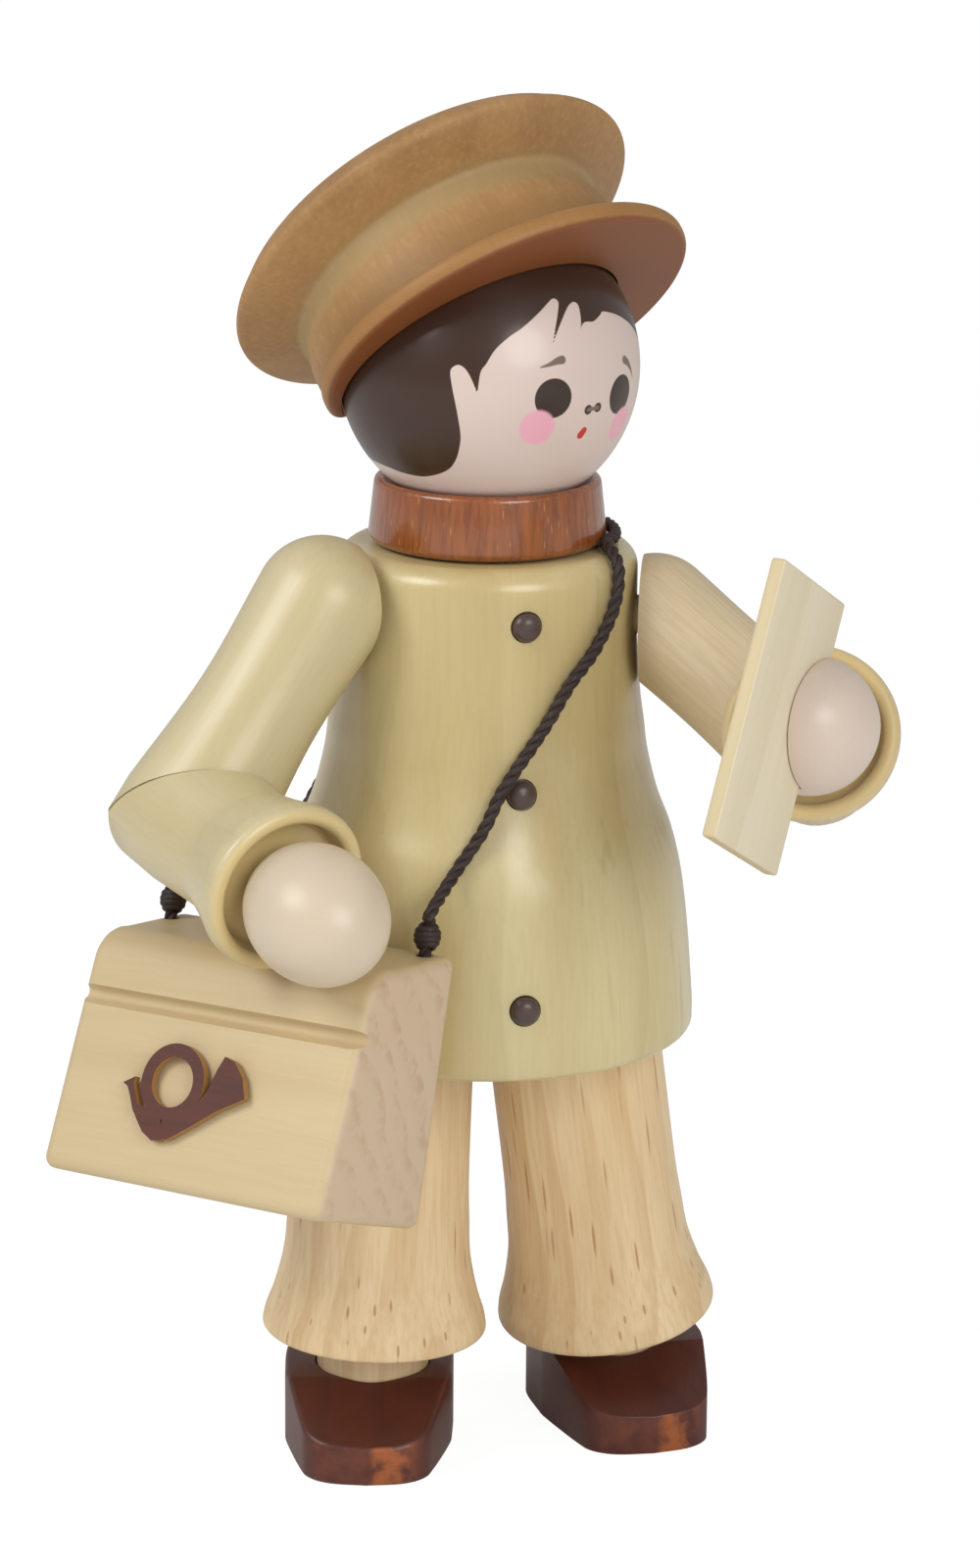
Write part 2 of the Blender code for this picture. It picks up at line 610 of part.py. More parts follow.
# Satchel: a wedge-sided block with a groove for the flap's edge
satchel_frame = (Matrix.Rotation(math.radians(SATCHEL_TURN), 3, "Z")
                 @ Matrix.Rotation(math.radians(SATCHEL_TILT), 3, "X")
                 @ Matrix.Rotation(math.radians(SATCHEL_ROLL), 3, "Y"))
satchel_at = Vector(SATCHEL_AT)
side_line = [(0.0, -SATCHEL_HEEL), (-SATCHEL_DEEP, 0.0)]
face_lean = math.degrees(math.atan2(SATCHEL_DEEP - SATCHEL_DEEP_TOP, SATCHEL_HIGH))
crown = SATCHEL_CROWN
side_line += [(-(SATCHEL_DEEP_TOP - crown) - y, z) for y, z in
              arc(0.0, SATCHEL_HIGH - crown, crown, face_lean, 90.0, 7)]
side_line += [(0.0, SATCHEL_BACK_HIGH)]
satchel = prism("satchel", side_line, -SATCHEL_WIDE / 2, SATCHEL_WIDE / 2, "satchel_wood")
lay = Matrix(((0.0, 0.0, 1.0), (1.0, 0.0, 0.0), (0.0, 1.0, 0.0)))
place(satchel, satchel_at, satchel_frame @ lay)
groove = block("flap_groove", (-SATCHEL_WIDE, -SATCHEL_DEEP - 4.0, FLAP_LINE),
               (SATCHEL_WIDE, 0.0, FLAP_LINE + FLAP_GROOVE))
groove_y = SATCHEL_DEEP - (SATCHEL_DEEP - SATCHEL_DEEP_TOP) * FLAP_LINE / SATCHEL_HIGH
place(groove, satchel_at + satchel_frame @ Vector((0.0, -groove_y + FLAP_GROOVE_DEEP, 0.0)), satchel_frame)
soften(satchel, SATCHEL_ROUND, 3, 40.0)
cut(satchel, groove)

# Horn ornament: a plain coiled horn cut from thin sheet
ring_out = [(HORN_RING_R * math.cos(a), HORN_RING_R * math.sin(a))
            for a in [2 * math.pi * k / 28 for k in range(28)]]
horn_ring = prism("horn_ornament", ring_out, 0.0, HORN_THICK, "horn_wood")
bell_line = [
    (-0.46, -2.77), (0.43, -2.58), (1.57, -1.81), (2.84, -0.91), (4.23, -0.16), (3.85, 0.77),
    (3.22, 1.41), (2.63, 1.56), (2.33, 0.84), (2.03, -0.16), (1.44, -0.99), (0.8, -1.4), (0.0, -1.6),
]
mouth_line = [
    (-2.15, -0.05), (-2.78, -0.41), (-2.48, -0.55), (-2.23, -0.95), (-1.92, -1.53), (-1.6, -1.9),
    (-1.09, -2.45), (-0.46, -2.77), (0.0, -2.7), (-0.3, -1.6), (-1.0, -1.4), (-1.67, -1.28),
    (-1.9, -0.85), (-2.18, -0.35),
]
horn_bell = prism("horn_bell", bell_line, 0.0, HORN_THICK)
horn_mouth = prism("horn_mouthpiece", mouth_line, 0.0, HORN_THICK)
ring_in = [(HORN_EYE_R * math.cos(a), HORN_EYE_R * math.sin(a))
           for a in [2 * math.pi * k / 24 for k in range(24)]]
horn_eye = prism("horn_eye", ring_in, -1.0, 1.0)
front_lean = Matrix.Rotation(math.radians(90.0 - face_lean), 3, "X")
horn_frame = satchel_frame @ front_lean
front_y = SATCHEL_DEEP - (SATCHEL_DEEP - SATCHEL_DEEP_TOP) * HORN_AT[1] / SATCHEL_HIGH
horn_spot = satchel_at + satchel_frame @ Vector((HORN_AT[0], -front_y - FIT / 2, HORN_AT[1]))
for piece in (horn_ring, horn_bell, horn_mouth, horn_eye):
    place(piece, horn_spot, horn_frame)
cut(horn_ring, horn_bell, "UNION")
cut(horn_ring, horn_mouth, "UNION")
cut(horn_ring, horn_eye)


def on_coat(height, degrees, off=CORD_OFF):
    """A point beside the coat: height and turn from the front line."""
    turn = math.radians(degrees)
    reach = coat_radius(height) + off
    return Vector((math.sin(turn) * reach, -math.cos(turn) * reach, height))


def by_collar(degrees, up):
    """A point on the coat's top beside the collar, turned from the front line."""
    turn = math.radians(degrees)
    reach = COLLAR_R + CORD_R + FIT
    return Vector((math.sin(turn) * reach, -math.cos(turn) * reach, COAT_TOP + up))


def over_edge(degrees, lean):
    """A point over the coat's rounded top edge, lean measured up from level."""
    turn, tip = math.radians(degrees), math.radians(lean)
    reach = COAT_SHOULDER_R - COAT_EDGE + (COAT_EDGE + CORD_OFF) * math.cos(tip)
    rise = COAT_TOP - COAT_EDGE + (COAT_EDGE + CORD_OFF) * math.sin(tip)
    return Vector((math.sin(turn) * reach, -math.cos(turn) * reach, rise))


def on_satchel(end, up):
    """A point over a strap hole: up is measured from the satchel's top."""
    along, across = STRAP_ENDS[end]
    fall = (SATCHEL_BACK_HIGH - SATCHEL_HIGH) / (SATCHEL_DEEP_TOP - SATCHEL_CROWN)
    return satchel_at + satchel_frame @ Vector((along, across, SATCHEL_BACK_HIGH + across * fall + up))


# Strap: up the front from the satchel, over the left shoulder, down the back
front_mouth, rear_mouth = on_satchel("front", 0.0), on_satchel("rear", 0.0)
route = [
    on_satchel("front", -STRAP_IN), front_mouth, on_satchel("front", 0.9), on_satchel("front", 1.5),
    on_satchel("front", 1.95),
    on_coat(30.9, -21.1, 0.5), on_coat(32.7, -13.4, 0.5), on_coat(34.5, -7.3, 0.6), on_coat(37.2, 7.6),
    on_coat(39.0, 17.3), on_coat(40.4, 28.3), on_coat(41.8, 36.5), on_coat(42.9, 40.5),
    over_edge(43.0, 28.0), over_edge(46.5, 58.0), by_collar(54.0, CORD_OFF), by_collar(68.0, CORD_OFF),
    by_collar(84.0, CORD_OFF), by_collar(100.0, CORD_OFF), by_collar(116.0, CORD_OFF),
    by_collar(131.0, CORD_OFF), over_edge(141.0, 58.0), over_edge(147.0, 22.0), on_coat(41.6, 158.0),
    on_coat(38.8, 176.0), on_coat(36.2, 194.0, 0.46), on_coat(33.8, 211.0, 0.52),
    on_coat(31.6, 228.0, 0.52), on_coat(30.0, 243.0, 0.7), on_satchel("rear", 2.3),
    on_satchel("rear", 1.75), on_satchel("rear", 1.0), rear_mouth, on_satchel("rear", -STRAP_IN),
]


def cord_tube(name, points, radius, slot):
    data = bpy.data.curves.new(name, "CURVE")
    data.dimensions = "3D"
    data.bevel_depth = radius * MM
    data.bevel_resolution = 2
    data.use_fill_caps = True
    strand = data.splines.new("POLY")
    strand.points.add(len(points) - 1)
    for slot_point, where in zip(strand.points, points):
        slot_point.co = (where.x * MM, where.y * MM, where.z * MM, 1.0)
    made = bpy.data.objects.new(name, data)
    data.materials.append(MATERIALS[slot])
    figure_parts.objects.link(made)
    return made


strap = cord_tube("satchel_cord", smooth_line(route, 2), CORD_R, "cord_brown")
for end, mouth in (("front", front_mouth), ("rear", rear_mouth)):
    hole = rod("strap_hole_" + end, STRAP_HOLE_R, on_satchel(end, -STRAP_HOLE_DEEP),
               on_satchel(end, 1.5))
    cut(satchel, hole)
    line = [(p.x, p.y) for p in smooth_line([
        (KNOT_HOLE_R, KNOT_LONG), (KNOT_R * 0.85, KNOT_LONG * 0.84), (KNOT_R, KNOT_LONG * 0.5),
        (KNOT_R * 0.9, KNOT_LONG * 0.2), (KNOT_HOLE_R + 0.12, 0.0)], 2)]
    knot = turned("strap_knot_" + end, line + [(KNOT_HOLE_R, 0.0)], "cord_brown", 14, closed=True)
    place(knot, on_satchel(end, KNOT_OFF), satchel_frame)

# Stand the whole figure with the middle of its box over the origin
bpy.context.view_layer.update()
ready = bpy.context.evaluated_depsgraph_get()
spots = []
for piece in figure_parts.objects:
    if piece.type == "MESH":
        solid = piece.evaluated_get(ready)
        spots += [piece.matrix_world @ vert.co for vert in solid.data.vertices]
xs, ys = [p.x for p in spots], [p.y for p in spots]
figure_stand = add_holder("figure_stand", (0.0, 0.0, 0.0))
figure_stand.location = (-(min(xs) + max(xs)) / 2, -(min(ys) + max(ys)) / 2, 0.0)
for piece in list(figure_parts.objects) + list(cutting_tools.objects):
    if piece.parent is None and piece is not figure_stand:
        piece.parent = figure_stand

for piece in figure_parts.objects:
    if piece.type == "MESH":
        for face in piece.data.polygons:
            face.use_smooth = True
        piece.data.set_sharp_from_angle(angle=math.radians(35.0))
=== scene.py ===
# %% [markdown]
# # A wooden postman, turned and cut
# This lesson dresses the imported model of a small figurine. The real one is
# made of wooden pieces that were turned on a lathe or cut from a board, then
# stained, painted or lacquered, and pegged together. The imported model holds
# every piece at its real size. Here each one gets a finer surface and its
# own finish, and stays exactly where the model has it.

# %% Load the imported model
import json
import math
from math import cos, pi, radians, sin

import bmesh
import bpy
import numpy as np
from mathutils import Matrix, Vector


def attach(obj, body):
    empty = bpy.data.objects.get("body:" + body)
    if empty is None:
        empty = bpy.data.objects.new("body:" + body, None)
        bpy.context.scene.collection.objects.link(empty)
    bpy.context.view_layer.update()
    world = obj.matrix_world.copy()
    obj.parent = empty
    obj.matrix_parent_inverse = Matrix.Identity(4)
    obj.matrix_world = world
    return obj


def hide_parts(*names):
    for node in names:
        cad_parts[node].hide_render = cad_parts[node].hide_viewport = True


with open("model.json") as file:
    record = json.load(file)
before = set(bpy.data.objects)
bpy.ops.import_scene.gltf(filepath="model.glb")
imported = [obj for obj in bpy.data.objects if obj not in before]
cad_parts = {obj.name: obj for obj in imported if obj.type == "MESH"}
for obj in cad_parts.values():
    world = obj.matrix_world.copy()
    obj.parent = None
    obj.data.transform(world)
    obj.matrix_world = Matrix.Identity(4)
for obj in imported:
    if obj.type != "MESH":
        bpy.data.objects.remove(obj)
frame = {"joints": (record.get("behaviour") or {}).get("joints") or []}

MM = 0.001  # lengths below are in millimetres
SIDES = ("right", "left")  # of the figure itself
scene = bpy.context.scene
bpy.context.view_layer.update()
joints = {joint["name"]: joint for joint in frame["joints"]}
HEAD = Vector(joints["head_turn"]["pos_m"]) / MM
FOOT = Vector((HEAD.x, HEAD.y, 0.0))  # on the floor, under the coat's axis
upright = Matrix.Translation(FOOT)


def toward(degrees, up=0.0):
    """A direction: its turn from the figure's front, then its rise, both in degrees."""
    turn, rise = radians(degrees), radians(up)
    return Vector((sin(turn) * cos(rise), -cos(turn) * cos(rise), sin(rise)))


def around(degrees, reach, height):
    """A point beside the figure's axis: its turn from the front, then how far out and how high."""
    return FOOT + toward(degrees) * reach + Vector((0.0, 0.0, height))


def rotated(degrees, axis):
    return Matrix.Rotation(radians(degrees), 4, axis)


print("head centre in mm:", [round(value, 2) for value in HEAD])

# %% [markdown]
# ## Where the camera stands
# The photograph was taken from a little above the cap, with a long lens and
# a step to the side of the figure's front. A camera is a place, a direction
# and a lens, so the direction is built from three angles: the turn round the
# figure, the dip towards the floor and a slight roll.

# %% Camera
CAMERA_AWAY = 240.0
CAMERA_HIGH = 97.34
CAMERA_ROUND = -13.0  # degrees round the figure from its front
CAMERA_AIM = -13.051  # degrees the lens looks, a hair off the figure's middle
CAMERA_DIP = 15.1
CAMERA_ROLL = 0.45
CAMERA_LENS = 120.96


def photo_camera():
    behind, level = toward(CAMERA_AIM, CAMERA_DIP), toward(CAMERA_AIM + 90.0)
    turned = Matrix((level, behind.cross(level), behind)).transposed().to_4x4() @ rotated(CAMERA_ROLL, "Z")
    camera = bpy.data.objects.new("photo_camera", bpy.data.cameras.new("photo_camera"))
    camera.data.lens = CAMERA_LENS
    camera.data.clip_start = 0.01
    spot = around(CAMERA_ROUND, CAMERA_AWAY, CAMERA_HIGH)
    camera.matrix_world = Matrix.Translation(spot * MM) @ turned
    scene.collection.objects.link(camera)
    scene.camera = camera
    return camera


print("camera at", [round(value, 4) for value in photo_camera().location])

# %% [markdown]
# ## Lines that shapes are made from
# A turner cuts a profile, and a cord follows a route. Both are a few chosen
# points with a smooth curve through them, or an arc. These two helpers give
# the points in between, so that only the points that matter are written down.

# %% Curves through chosen points


def smooth_line(points, steps):
    """Points of a smooth curve that runs through every given point."""
    knots = [Vector(point) for point in points]
    ends = [2 * knots[0] - knots[1]] + knots + [2 * knots[-1] - knots[-2]]
    line = []
    for number in range(1, len(ends) - 2):
        a, b, c, d = ends[number - 1:number + 3]
        for step in range(steps):
            t = step / steps
            bend = (2 * a - 5 * b + 4 * c - d) * t * t + (3 * b - a - 3 * c + d) * t ** 3
            line.append(0.5 * (2 * b + (c - a) * t + bend))
    line.append(knots[-1])
    return line


def smooth_profile(points, steps=8):
    """The same for a turner's profile of (radius, height)."""
    return [(point.x, point.y) for point in smooth_line([(r, z, 0.0) for r, z in points], steps)]


def arc(across, up, radius, start, end, steps=8):
    """Points (radius, height) of an arc, with angles in degrees from outward."""
    turns = [radians(start + (end - start) * step / steps) for step in range(steps + 1)]
    return [(across + radius * cos(turn), up + radius * sin(turn)) for turn in turns]


print("a quarter arc has", len(arc(0, 0, 1, 90, 0)), "points")

# %% [markdown]
# ## The coat's outline and the satchel's place
# The cord lies on the coat and ends in the satchel, so their sizes come
# before it. The coat is a bell turned from one block. The satchel hangs at
# the right hip, turned to the front and leaning a little off the coat.

# %% Coat and satchel sizes
FIT = 0.1  # play between pieces
COAT_BOTTOM = 20.95
COAT_TOP = 44.35
COAT_SHOULDER = 7.03
COAT_EDGE = 1.1
HEM_ROUND = 0.5
COAT_CURVE = [
    (43.25, 7.03), (40.0, 7.04), (37.4, 7.22), (35.9, 7.42), (34.4, 7.62),
    (32.4, 8.12), (30.6, 8.8), (28.5, 9.3), (25.6, 9.66), (22.2, 9.92),
]
COLLAR_R = 5.55
SATCHEL_AT = FOOT + Vector((-11.25, -7.45, 15.4))
SATCHEL_TURN, SATCHEL_TILT, SATCHEL_ROLL = -50.0, -16.5, -2.9
SATCHEL_WIDE, SATCHEL_HIGH, SATCHEL_BACK_HIGH = 16.3, 11.4, 12.3
SATCHEL_DEEP, SATCHEL_DEEP_TOP, SATCHEL_HEEL = 7.9, 6.3, 0.3
SATCHEL_CROWN = 1.9  # rounding of the top front edge
satchel_turned = rotated(SATCHEL_TURN, "Z") @ rotated(SATCHEL_TILT, "X") @ rotated(SATCHEL_ROLL, "Y")
satchel_placing = Matrix.Translation(SATCHEL_AT) @ satchel_turned


def coat_radius(height):
    return float(np.interp(height, *zip(*sorted(COAT_CURVE))))


print("coat radius at the hem", coat_radius(COAT_BOTTOM))

# %% [markdown]
# ## The route of the cord
# The strap is a waxed cord. It starts in a hole in the satchel's top, climbs
# the front of the coat, goes over the left shoulder beside the collar, comes
# down the back, and ends in a second hole. The points below are chosen on
# the coat or beside it: a height, a turn in degrees from the front, and how
# far the cord's middle is off the wood.

# %% Cord route
CORD_R = 0.3
CORD_OFF = 0.42
CORD_IN = 1.3
CORD_ENDS = {"front": (6.9, -0.95), "rear": (-7.4, -1.7)}
TOP_FALL = (SATCHEL_BACK_HIGH - SATCHEL_HIGH) / (SATCHEL_DEEP_TOP - SATCHEL_CROWN)


def on_coat(height, degrees, off=CORD_OFF):
    return around(degrees, coat_radius(height) + off, height)


def by_collar(degrees):
    return around(degrees, COLLAR_R + CORD_R + FIT, COAT_TOP + CORD_OFF)


def over_edge(degrees, lean):
    """Over the coat's rounded top edge, where the cord lies on it at an angle."""
    off, tip = COAT_EDGE + CORD_OFF, radians(lean)
    return around(degrees, COAT_SHOULDER - COAT_EDGE + off * cos(tip), COAT_TOP - COAT_EDGE + off * sin(tip))


def on_satchel(end, up, aside=(0.0, 0.0)):
    """A point over one of the two strap holes: up is measured from the satchel's top."""
    along, across = CORD_ENDS[end]
    top = SATCHEL_BACK_HIGH + across * TOP_FALL
    return satchel_placing @ Vector((along + aside[0], across + aside[1], top + up))


cord_route = [
    on_satchel("front", -CORD_IN), on_satchel("front", 0.0), on_satchel("front", 0.9),
    on_satchel("front", 1.5), on_satchel("front", 1.95), on_coat(30.9, -21.1, 0.5),
    on_coat(32.7, -13.4, 0.5), on_coat(34.5, -7.3, 0.6), on_coat(37.2, 7.6), on_coat(39.0, 17.3),
    on_coat(40.4, 28.3), on_coat(41.8, 36.5), on_coat(42.9, 40.5), over_edge(43.0, 28.0),
    over_edge(46.5, 58.0), by_collar(54.0), by_collar(68.0), by_collar(84.0), by_collar(100.0),
    by_collar(116.0), by_collar(131.0), over_edge(141.0, 58.0), over_edge(147.0, 22.0),
    on_coat(41.6, 158.0), on_coat(38.8, 176.0), on_coat(36.2, 194.0, 0.46),
    on_coat(33.8, 211.0, 0.52), on_coat(31.6, 228.0, 0.52), on_coat(30.0, 243.0, 0.7),
    on_satchel("rear", 2.3), on_satchel("rear", 1.75), on_satchel("rear", 1.0),
    on_satchel("rear", 0.0), on_satchel("rear", -CORD_IN),
]
print("the route has", len(cord_route), "chosen points")

# %% [markdown]
# ## Twisting the cord
# Such a cord is three strands laid round each other. Each strand is a thin
# tube that winds round the route once in every lay. To know which way is
# sideways along the route, a frame is carried from point to point and only
# turned as far as the route turns, so the strands never kink.

# %% Twisted cord
CORD_LAY = 1.9  # length in which a strand goes once round
STRAND_R = 0.165
STRAND_OUT = CORD_R - STRAND_R + 0.012
STRAND_STEP = 0.16
SHARP = 38.0  # edges with a smaller angle are shaded smooth


def even_points(points, gap):
    """The same line as points that are one gap apart."""
    line = np.array([tuple(point) for point in points])
    runs = np.r_[0.0, np.cumsum(np.linalg.norm(np.diff(line, axis=0), axis=1))]
    marks = np.linspace(0.0, runs[-1], int(runs[-1] / gap) + 1)
    return [Vector([np.interp(mark, runs, line[:, axis]) for axis in range(3)]) for mark in marks]


def strand_lines(points, count, gap):
    """Lines that wind round a route, as lists of points."""
    side = (points[1] - points[0]).orthogonal().normalized()
    strands = [[] for _ in range(count)]
    for number, point in enumerate(points):
        before, after = points[max(number - 1, 0)], points[min(number + 1, len(points) - 1)]
        ahead = (after - before).normalized()
        side = (side - ahead * side.dot(ahead)).normalized()
        other = ahead.cross(side)
        for which, strand in enumerate(strands):
            turn = 2 * pi * (which / count + number * gap / CORD_LAY)
            strand.append(point + (side * cos(turn) + other * sin(turn)) * STRAND_OUT)
    return strands


def tube_mesh(name, lines, radius, sides=2):
    """Round tubes along lines of points in mm, as one mesh."""
    curve = bpy.data.curves.new(name, "CURVE")
    curve.dimensions = "3D"
    curve.bevel_depth = radius * MM
    curve.bevel_resolution = sides
    curve.use_fill_caps = True
    for line in lines:
        spline = curve.splines.new("POLY")
        spline.points.add(len(line) - 1)
        for point, where in zip(spline.points, line):
            point.co = (*(where * MM), 1.0)
    holder = bpy.data.objects.new(name, curve)
    mesh = bpy.data.meshes.new_from_object(holder)
    bpy.data.objects.remove(holder)
    bpy.data.curves.remove(curve)
    mesh.name = name
    return mesh


def add_piece(name, mesh, body, node):
    """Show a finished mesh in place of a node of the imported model."""
    piece = bpy.data.objects.new(name, mesh)
    scene.collection.objects.link(piece)
    mesh.polygons.foreach_set("use_smooth", [True] * len(mesh.polygons))
    mesh.set_sharp_from_angle(angle=radians(SHARP))
    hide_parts(node)
    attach(piece, body)
    return piece


cord_middle = even_points(smooth_line(cord_route, 10), STRAND_STEP)
strands = strand_lines(cord_middle, 3, STRAND_STEP)
cord = add_piece("strap_cord", tube_mesh("strap_cord", strands, STRAND_R), "figure", "satchel_cord")

# %% [markdown]
# ## Turning, cutting and placing
# Most pieces come off a lathe, and a lathe is the spin operator: a profile
# is swept round an axis and the points on the axis are merged. Other shapes
# are planed with a bisecting plane or drilled with a Boolean. A piece is
# made at the origin with its axis upright, then moved to its place, and its
# finish later reads the same placing, so the grain follows the piece.

# %% Lathe, plane and drill
ROUND = 144  # steps of a large turned piece
ROUND_SMALL = 96


def turn_shape(profile, steps=ROUND, closed=False):
    """Spin a profile of (radius, height) in mm about the upright axis."""
    shape = bmesh.new()
    line = [shape.verts.new((max(r, 0.0) * MM, 0.0, z * MM)) for r, z in profile]
    pairs = list(zip(line, line[1:])) + ([(line[-1], line[0])] if closed else [])
    edges = [shape.edges.new(pair) for pair in pairs]
    bmesh.ops.spin(shape, geom=line + edges, cent=(0, 0, 0), axis=(0, 0, 1), dvec=(0, 0, 0),
                   angle=2 * pi, steps=steps, use_merge=True, use_duplicate=False)
    bmesh.ops.remove_doubles(shape, verts=shape.verts, dist=1e-7)
    bmesh.ops.recalc_face_normals(shape, faces=shape.faces)
    return shape


def block_shape(low, high):
    """A box between two corners in mm."""
    shape = bmesh.new()
    low, high = Vector(low) * MM, Vector(high) * MM
    size = Matrix.Diagonal((*(high - low), 1.0))
    bmesh.ops.create_cube(shape, size=1.0, matrix=Matrix.Translation((low + high) / 2) @ size)
    return shape


def board_shape(outline, low, high):
    """A flat outline of (x, y) in mm, raised from low to high."""
    shape = bmesh.new()
    face = shape.faces.new([shape.verts.new((x * MM, y * MM, low * MM)) for x, y in outline])
    raised = bmesh.ops.extrude_face_region(shape, geom=[face])["geom"]
    top = [item for item in raised if isinstance(item, bmesh.types.BMVert)]
    bmesh.ops.translate(shape, verts=top, vec=(0.0, 0.0, (high - low) * MM))
    bmesh.ops.recalc_face_normals(shape, faces=shape.faces)
    return shape


def drill_shape(radius, start, end, steps=48):
    """A round drill between two points in mm."""
    long = (end - start).length
    drill = turn_shape([(0, long), (radius, long), (radius, 0), (0, 0)], steps)
    return move(drill, frame_at(start, end - start))


def frame_at(where, axis):
    """A placing in mm: an origin, and the direction its upright axis takes."""
    return Matrix.Translation(Vector(where)) @ Vector(axis).to_track_quat("Z", "Y").to_matrix().to_4x4()


def move(shape, placing):
    """Move a shape from the bench to its place. The placing is in mm."""
    placed = placing.copy()
    placed.translation = placing.translation * MM
    bmesh.ops.transform(shape, matrix=placed, verts=shape.verts)
    return shape


def plane_off(shape, where, away):
    """Plane away what lies beyond a point, and close the cut."""
    bmesh.ops.bisect_plane(shape, geom=shape.verts[:] + shape.edges[:] + shape.faces[:], dist=1e-8,
                           plane_co=Vector(where) * MM, plane_no=away, clear_outer=True)
    rim = [edge for edge in shape.edges if edge.is_boundary]
    bmesh.ops.edgeloop_fill(shape, edges=rim)
    bmesh.ops.recalc_face_normals(shape, faces=shape.faces)
    return shape


def soften(shape, width, steps=3, above=24.0):
    """Round the edges that are sharper than an angle."""
    sharp = [edge for edge in shape.edges if edge.calc_face_angle(0.0) > radians(above)]
    bmesh.ops.bevel(shape, geom=sharp, offset=width * MM, offset_type="OFFSET", segments=steps,
                    profile=0.5, affect="EDGES", clamp_overlap=True, material=-1)
    return shape


def carve(shape, tools, operation="DIFFERENCE"):
    """Cut tools out of a shape, or join them to it, with the exact Boolean."""
    meshes = []
    for part in [shape] + tools:
        mesh = bpy.data.meshes.new("bench")
        part.to_mesh(mesh)
        part.free()
        meshes.append(bpy.data.objects.new("bench", mesh))
        scene.collection.objects.link(meshes[-1])
    for tool in meshes[1:]:
        step = meshes[0].modifiers.new("carve", "BOOLEAN")
        step.operation = operation
        step.solver = "EXACT"
        step.object = tool
    carved = bmesh.new()
    carved.from_object(meshes[0], bpy.context.evaluated_depsgraph_get())
    for helper in meshes:
        bpy.data.meshes.remove(helper.data)
    return carved


def show(name, shape, body, node):
    """Turn a finished shape into a piece."""
    mesh = bpy.data.meshes.new(name)
    shape.to_mesh(mesh)
    shape.free()
    piece = add_piece(name, mesh, body, node)
    print(name, len(mesh.polygons), "faces")
    return piece


# %% [markdown]
# ## Coat
# The bell's top edge is rounded, the sides draw in under the shoulders and
# swell to a straight hem. Seats are drilled for the neck peg, the shoulder
# pegs, the legs and the three buttons, as they are in the real block.

# %% Coat
NECK_BORE_R, NECK_BORE_LOW = 1.35, 41.2
SHOULDER_BORE_R, SHOULDER_BORE_IN = 1.0, 3.1
ARM_OFF = 0.27  # flat of each arm off the coat's shoulder
LEG_TOP = {"right": Vector((-4.62, 0.72, COAT_BOTTOM)), "left": Vector((4.36, 0.30, COAT_BOTTOM))}
LEG_HEM = {"right": Vector((-5.15, 0.76, 5.55)), "left": Vector((6.74, 2.0, 5.21))}
LEG_R = {"right": 4.25, "left": 4.15}
LEG_LET_IN = 1.2
BUTTONS = {"top": (41.8, 2.0, 0.0), "middle": (34.1, -0.6, 15.0), "bottom": (24.4, -1.8, 4.0)}
BUTTON_R, BUTTON_PLAY, BUTTON_SEAT = 0.67, 0.07, 0.35


def button_spot(which):
    """Where a button sits on the coat, and the way it faces."""
    height, off, lean = BUTTONS[which]
    return around(off, coat_radius(height), height), toward(off, lean)


def shoulder_of(side):
    """The direction of a shoulder peg, its middle, and where the arm's flat meets it."""
    joint = joints[side + "_arm_turn"]
    outward, shoulder = Vector(joint["axis"]), Vector(joint["pos_m"]) / MM
    return outward, shoulder, around(0.0, 0.0, shoulder.z) + outward * (COAT_SHOULDER + ARM_OFF)


def coat_shape():
    profile = [(0.0, NECK_BORE_LOW), (NECK_BORE_R, NECK_BORE_LOW), (NECK_BORE_R, COAT_TOP)]
    profile += arc(COAT_SHOULDER - COAT_EDGE, COAT_TOP - COAT_EDGE, COAT_EDGE, 90.0, 8.0, 10)
    profile += smooth_profile([(r, z) for z, r in COAT_CURVE], 7)
    profile += arc(COAT_CURVE[-1][1] - HEM_ROUND, COAT_BOTTOM + HEM_ROUND, HEM_ROUND, -8.0, -90.0, 8)
    profile += [(0.0, COAT_BOTTOM)]
    drills = []
    for side in SIDES:
        outward, _, skin = shoulder_of(side)
        drills.append(drill_shape(SHOULDER_BORE_R, skin - outward * SHOULDER_BORE_IN, skin + outward * 2.0))
        rise = (LEG_TOP[side] - LEG_HEM[side]).normalized()
        top = FOOT + LEG_TOP[side]
        drills.append(drill_shape(LEG_R[side] + FIT, top - rise * 4.0, top + rise * (LEG_LET_IN + FIT), 96))
    for which in BUTTONS:
        spot, facing = button_spot(which)
        drills.append(drill_shape(BUTTON_R + BUTTON_PLAY, spot - facing * BUTTON_SEAT, spot + facing * 1.5))
    return carve(move(turn_shape(profile), upright), drills)


show("turned_coat", coat_shape(), "figure", "coat")

# %% [markdown]
# ## Collar
# A short ring with a rounded foot. Its top is dished to the curve of the
# ball that sits in it, which is why the head can lean on it all the way round.

# %% Collar
HEAD_R = 7.0
COLLAR_TOP_R = 5.3
COLLAR_ROUND = 0.45


def collar_shape():
    profile = [(across, HEAD.z - math.sqrt((HEAD_R + FIT) ** 2 - across ** 2))
               for across in np.linspace(NECK_BORE_R, COLLAR_TOP_R - 0.5, 13)]
    edge = profile[-1][1]
    profile += arc(COLLAR_TOP_R - 0.3, edge - 0.25, 0.3, 95.0, 0.0, 7)
    profile += arc(COLLAR_R - COLLAR_ROUND, COAT_TOP + FIT + COLLAR_ROUND, COLLAR_ROUND, 0.0, -90.0, 7)
    profile += [(NECK_BORE_R, COAT_TOP + FIT)]
    return move(turn_shape(profile, closed=True), upright)


show("stained_collar", collar_shape(), "figure", "collar")

# %% [markdown]
# ## Head
# The head is a plain ball, and everything on it is paint. A ball from the
# sphere operator has its smallest faces at its poles, so one pole is turned
# to the face, where the brush strokes are finest.

